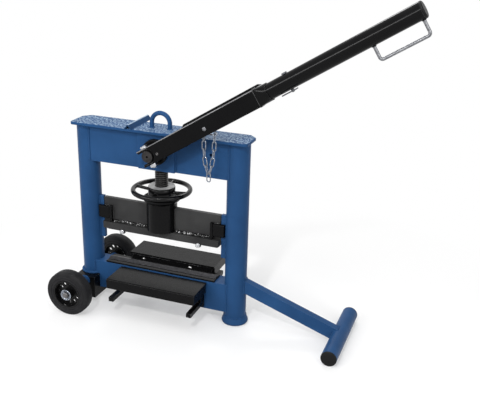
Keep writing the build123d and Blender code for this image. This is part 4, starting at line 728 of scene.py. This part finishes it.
PIN_LEG_X, PIN_LEG_R, PIN_EYE_R, PIN_EYE_Z = 0.9, 0.85, 2.6, 13.4
PIN_LEAN = Matrix.Rotation(math.radians(-28), 4, "Y")
pin_legs = [tube([(k * PIN_LEG_X, 0, -10.5), (k * PIN_LEG_X, 0, 11)], PIN_LEG_R, 10) for k in (-1, 1)]
pin_eye = tube(circle((0, 0, PIN_EYE_Z), PIN_EYE_R, 28, X_AXIS, Z_AXIS), 0.95, 10, closed=True)
pin_end = tube([(-PIN_LEG_X, 0, -10), (-2.6, 0, -13)], PIN_LEG_R, 10)
split_pin = joined(*pin_legs, pin_eye, pin_end)
split_pins = [moved(split_pin, at(-POST_X, y, AXLE_Z) @ PIN_LEAN) for y in (-SPLIT_PIN_Y, SPLIT_PIN_Y)]
piece("split_pins", joined(*split_pins), FINISHES["zinc"], "frame")


# Weld beads: the middle of each stands a little out of the corner that it fills
def ring_bead(x, y, z, radius, size, axis_a=X_AXIS, axis_b=Y_AXIS):
    return bead(circle((x, y, z), radius, 60, axis_a, axis_b), size, closed=True)


def upright(x, y, low, high, size):
    return bead([(x, y, low), (x, y, high)], size)


def along_x(low, high, y, z, size, **scales):
    return bead([(low, y, z), (high, y, z)], size, **scales)


BEAM_LOW, BEAM_HIGH, BEARING_X, TOP_SEAM_X = 418, 518, 53, 58
LEFT_SEAM_LOW, RIGHT_SEAM_LOW, LOWER_SEAM_HIGH = 78, 36, 116
RAIL_HALF_W, RAIL_SEAM_Y, RAIL_LOW, RAIL_HIGH = 5.6, 6, 189, 310
CARRIER_FACE_Y, AXLE_SEAM_R, KNIFE_SEAM_X, KNIFE_SEAM_Y, KNIFE_SEAM_Z = 55.5, 13.4, 164, 23.9, 118.2
LEFT_FOOT_Z, RIGHT_FOOT_Z = 78.2, 21.4
REST_SIDES_X, REST_HALF_Y = (-85.9, -62.1), 41
POST_WELD, EYE_WELD, SEAM_WELD, BEARING_WELD, TOP_WELD, RAIL_WELD = 2.4, 1.7, 2.1, 2.3, 2, 1.6
AXLE_WELD, KNIFE_WELD, LEFT_FOOT_WELD, RIGHT_FOOT_WELD, REST_WELD, LEG_WELD = 1.8, 1, 4.2, 1.8, 1.3, 2.2
seam_x = POST_X - math.sqrt(POST_R ** 2 - BEAM_HALF_Y ** 2)
rail_x = POST_X - math.sqrt(POST_R ** 2 - RAIL_HALF_W ** 2)
frame_beads = []
for side in (-1, 1):
    frame_beads.append(ring_bead(side * POST_X, 0, BEAM_HIGH - 0.8, POST_R + 0.6, POST_WELD))
    frame_beads.append(ring_bead(side * EYE_BEND_R, 0, TOP_Z + 0.6, EYE_R + 0.5, EYE_WELD))
    for y in (-BEAM_HALF_Y, BEAM_HALF_Y):
        out_y = y + math.copysign(0.7, y)
        post_seam_x = side * (seam_x - 0.4)
        frame_beads.append(upright(post_seam_x, out_y, BEAM_LOW + 1, BEAM_HIGH - 2, SEAM_WELD))
        frame_beads.append(upright(side * (BEARING_X + 0.6), out_y, BEAM_LOW + 1, BEAM_HIGH - 2, BEARING_WELD))
        frame_beads.append(along_x(side * TOP_SEAM_X, side * (seam_x - 4), out_y, BEAM_HIGH - 0.6, TOP_WELD))
        seam_low = LEFT_SEAM_LOW if side < 0 else RIGHT_SEAM_LOW
        frame_beads.append(upright(post_seam_x, out_y, seam_low, LOWER_SEAM_HIGH, SEAM_WELD))
    for y in (-RAIL_SEAM_Y, RAIL_SEAM_Y):
        frame_beads.append(upright(side * (rail_x - 0.3), y, RAIL_LOW, RAIL_HIGH, RAIL_WELD))
    frame_beads.append(ring_bead(-POST_X, side * CARRIER_FACE_Y, AXLE_Z, AXLE_SEAM_R, AXLE_WELD, X_AXIS, Z_AXIS))
    frame_beads.append(along_x(-KNIFE_SEAM_X, KNIFE_SEAM_X, side * KNIFE_SEAM_Y, KNIFE_SEAM_Z, KNIFE_WELD))
frame_beads.append(ring_bead(-POST_X, 0, LEFT_FOOT_Z, POST_R + 1.8, LEFT_FOOT_WELD))
frame_beads.append(ring_bead(POST_X, 0, RIGHT_FOOT_Z, POST_R + 0.4, RIGHT_FOOT_WELD))
for x in REST_SIDES_X:
    frame_beads.append(bead([(x, -REST_HALF_Y, TOP_Z + 0.3), (x, REST_HALF_Y, TOP_Z + 0.3)], REST_WELD))

# The support leg's beads follow where its tube meets the post and the foot tube
LEG_HALF_W, LEG_HALF_H, LEG_Z, FOOT_X, FOOT_R, LEG_BEAD_OUT, LEG_BEAD_STEPS = 11, 17.5, 124, 517.6, 21.2, 0.5, 12
leg_slope = math.atan2(LEG_Z - FOOT_R, FOOT_X - POST_X)
leg_length = math.hypot(LEG_Z - FOOT_R, FOOT_X - POST_X)
post_path, foot_path = [], []
bead_y, bead_n = LEG_HALF_W + LEG_BEAD_OUT, LEG_HALF_H + LEG_BEAD_OUT
corners = [(-bead_y, -bead_n), (bead_y, -bead_n), (bead_y, bead_n), (-bead_y, bead_n)]
for (y0, n0), (y1, n1) in zip(corners, corners[1:] + corners[:1]):
    for k in range(LEG_BEAD_STEPS):
        y, n = y0 + (y1 - y0) * k / LEG_BEAD_STEPS, n0 + (n1 - n0) * k / LEG_BEAD_STEPS
        near = (math.sqrt(POST_R ** 2 - y ** 2) - n * math.sin(leg_slope)) / math.cos(leg_slope)
        far = leg_length - math.sqrt(FOOT_R ** 2 - n ** 2)
        for path, run in ((post_path, near), (foot_path, far)):
            path.append((POST_X + run * math.cos(leg_slope) + n * math.sin(leg_slope), y,
                         LEG_Z - run * math.sin(leg_slope) + n * math.cos(leg_slope)))
frame_beads.append(bead(post_path, LEG_WELD, closed=True))
frame_beads.append(bead(foot_path, LEG_WELD, closed=True))
piece("frame_welds", joined(*frame_beads), FINISHES["blue_paint"], "frame", sharp=SMOOTH_BEAD)

WEB_Y, BASE_TOP, RIB_IN_X, RIB_TOP, GUIDE_X, BARREL_X, BARREL_SEAM_TOP = 6, 241, 148, 286, (157, 174), 42, 309
LEDGE_WELD, BARREL_WELD, GUIDE_WELD, RIB_WELD = 4.4, 1.7, 1.6, 1.5
ledge_scales = {"pitch": 8, "wander": 0.2, "waist": 0.45}
carriage_beads, ledge_beads = [], []
for side in (-1, 1):
    for y in (-WEB_Y, WEB_Y):
        out = math.copysign(1, y)
        near, far = (side * x for x in GUIDE_X)
        ledge_beads.append(along_x(side * (BARREL_X + 2), side * (RIB_IN_X - 1), y + 2.4 * out, BASE_TOP + 2,
                                   LEDGE_WELD, **ledge_scales))
        carriage_beads.append(upright(side * BARREL_X, y + 0.6 * out, BASE_TOP + 3, BARREL_SEAM_TOP, BARREL_WELD))
        carriage_beads.append(along_x(near, far, y + 0.7 * out, RIB_TOP + 0.5, GUIDE_WELD))
        carriage_beads.append(upright(side * (RIB_IN_X - 0.4), y + 0.7 * out, BASE_TOP + 3, RIB_TOP, RIB_WELD))
piece("carriage_welds", joined(*carriage_beads), weld_black, "carriage", sharp=SMOOTH_BEAD)
piece("ledge_welds", joined(*ledge_beads), lumpy_weld, "carriage", sharp=SMOOTH_BEAD)

SOCKET_S, SOCKET_FRONT, SOCKET_BACK, SOCKET_T, SOCKET_BEND = 340, -81.1, -44.9, 23.1, 4
socket_path = rounded([(SOCKET_S, SOCKET_FRONT, -SOCKET_T), (SOCKET_S, SOCKET_BACK, -SOCKET_T),
                       (SOCKET_S, SOCKET_BACK, SOCKET_T), (SOCKET_S, SOCKET_FRONT, SOCKET_T)],
                      SOCKET_BEND, 5, closed=True)
piece("socket_weld", bead(socket_path, radius=1, closed=True, pitch=3), pale_grey_weld, "lever",
      place=ON_LEVER, sharp=SMOOTH_BEAD)

# Rib along the rear of the channel's top, its ends sloped down
RIB_Y, RIB_HALF_W, RIB_LOW_T, RIB_EDGE = -47.6, 2.4, 22.9, 0.8
RIB_RUN = ((112, 23.4), (119, 28.4), (346, 28.4), (356, 23.4))         # s and the top's t
rib_points = []
for run, top in RIB_RUN:
    shoulder = top - min(RIB_EDGE, (top - RIB_LOW_T) / 2)
    rib_ring = ((-RIB_HALF_W, RIB_LOW_T), (RIB_HALF_W, RIB_LOW_T), (RIB_HALF_W, shoulder),
                (RIB_HALF_W - RIB_EDGE, top), (RIB_EDGE - RIB_HALF_W, top), (-RIB_HALF_W, shoulder))
    rib_points += [(run, RIB_Y + y, t) for y, t in rib_ring]
piece("lever_top_rib", (rib_points, ring_faces(len(RIB_RUN), len(rib_ring))), FINISHES["black_paint"], "lever",
      place=ON_LEVER)

lever_beads = [ring_bead(s, LEVER_Y, -TUBE_R + 0.2, LOOP_BAR_R + 0.6, size=1.5) for s in (LOOP_NEAR, LOOP_FAR)]
piece("lever_welds", joined(*lever_beads), gloss_black, "lever", place=ON_LEVER, sharp=SMOOTH_BEAD)

# Camera at the photograph's place, its frame 480 wide and 420 high
YAW, PITCH, ROLL = math.radians(19.59), math.radians(-21.64), math.radians(1.64)
FOCAL_PX, FRAME_W, SENSOR_W = 750.63, 480, 36
CAMERA_SPOT = Vector((840.39, -1724.97, 1058.46))
camera = bpy.data.objects.new("camera", bpy.data.cameras.new("camera"))
camera.data.sensor_width = SENSOR_W
camera.data.lens = FOCAL_PX / FRAME_W * SENSOR_W
ahead = Vector((-math.sin(YAW) * math.cos(PITCH), math.cos(YAW) * math.cos(PITCH), math.sin(PITCH)))
level = ahead.cross(Vector(Z_AXIS)).normalized()
upward = level.cross(ahead)
side_axis = math.cos(ROLL) * level + math.sin(ROLL) * upward
up_axis = math.cos(ROLL) * upward - math.sin(ROLL) * level
camera_turn = Matrix((side_axis, up_axis, -ahead)).transposed()
camera.matrix_world = Matrix.Translation(PLACE @ CAMERA_SPOT) @ camera_turn.to_4x4()
bpy.context.scene.collection.objects.link(camera)
bpy.context.scene.camera = camera


# Floor, lamps and world: rays that only look see a white studio, the lamps and a dimmer world light the object
def looking(nodes, links):
    """1 for camera, glossy and transmission rays."""
    ray = nodes.new("ShaderNodeLightPath")
    total = ray.outputs["Is Camera Ray"]
    for output in ("Is Glossy Ray", "Is Transmission Ray"):
        either = nodes.new("ShaderNodeMath")
        either.operation = "MAXIMUM"
        links.new(total, either.inputs[0])
        links.new(ray.outputs[output], either.inputs[1])
        total = either.outputs["Value"]
    return total


WHITE = (1, 1, 1, 1)
FLOOR_GREY, FLOOR_WHITE, FLOOR_OFF_WHITE = srgb(205, 205, 205), srgb(250, 250, 250), srgb(247, 247, 247)
# Near the object the floor already glows white at a share of FADE_SHARE for looking rays, which pales the
# object's shadow.
FADE_FROM, FADE_TO, FADE_SHARE = 0.25, 1.0, 0.3        # from the object outward, the floor fades to plain white


def studio_floor(name):
    f = Finish(name, specular=0.0)
    seen = looking(f.nodes, f.links)
    pale = f.mix(f.noise(3, 3), FLOOR_WHITE, FLOOR_OFF_WHITE)
    f.use(colour=f.mix(seen, FLOOR_GREY, pale), roughness=f.patches(20, 2, 0.3, 0.7, 0.85, 0.95))
    white = f.node("ShaderNodeEmission", {"Color": WHITE, "Strength": 1.0}).outputs["Emission"]
    fade = f.times(seen, f.span(f.length(f.where), FADE_FROM, FADE_TO, FADE_SHARE, 1.0))
    blend = f.node("ShaderNodeMixShader", {0: fade, 1: f.shader.outputs["BSDF"], 2: white})
    f.links.new(blend.outputs["Shader"], f.nodes["Material Output"].inputs["Surface"])
    return f.material


FLOOR = 20
floor_mesh = bpy.data.meshes.new("floor")
floor_mesh.from_pydata([(-FLOOR, -FLOOR, 0), (FLOOR, -FLOOR, 0), (FLOOR, FLOOR, 0), (-FLOOR, FLOOR, 0)], [],
                       [(0, 1, 2, 3)])
floor_mesh.materials.append(studio_floor("floor"))
floor = bpy.data.objects.new("floor", floor_mesh)
bpy.context.scene.collection.objects.link(floor)

AIM = Vector((0.0, 0.0, 0.35))
LAMPS = (("key", (-1.5, -2.32, 1.5), (2.7, 0.36), 40),                 # name, place, size and power
         ("above", (0.0, -0.2, 2.6), (1.8, 1.8), 17),
         ("back", (-0.8, 2.1, 2.3), (1.2, 0.6), 20),
         ("fill", (2.2, -1.5, 1.6), (1.4, 1.4), 18),
         ("spark", (0.2, -2.2, 2.4), (0.16, 0.16), 28))
for name, spot, size, power in LAMPS:
    lamp = bpy.data.lights.new(name, "AREA")
    lamp.shape = "RECTANGLE"
    lamp.size, lamp.size_y = size
    lamp.energy = power
    holder = bpy.data.objects.new(name, lamp)
    holder.location = spot
    holder.rotation_euler = (AIM - Vector(spot)).to_track_quat("-Z", "Y").to_euler()
    bpy.context.scene.collection.objects.link(holder)

WORLD_LIGHT, WORLD_SEEN = 0.42, 1.0
world = bpy.data.worlds.new("studio")
world.use_nodes = True
nodes, links = world.node_tree.nodes, world.node_tree.links
lit, backdrop = nodes["Background"], nodes.new("ShaderNodeBackground")
for background, strength in ((lit, WORLD_LIGHT), (backdrop, WORLD_SEEN)):
    background.inputs["Color"].default_value = WHITE
    background.inputs["Strength"].default_value = strength
choose = nodes.new("ShaderNodeMixShader")
links.new(looking(nodes, links), choose.inputs[0])
links.new(lit.outputs[0], choose.inputs[1])
links.new(backdrop.outputs[0], choose.inputs[2])
links.new(choose.outputs[0], nodes["World Output"].inputs["Surface"])
bpy.context.scene.world = world
bpy.context.scene.view_settings.view_transform = "Standard"
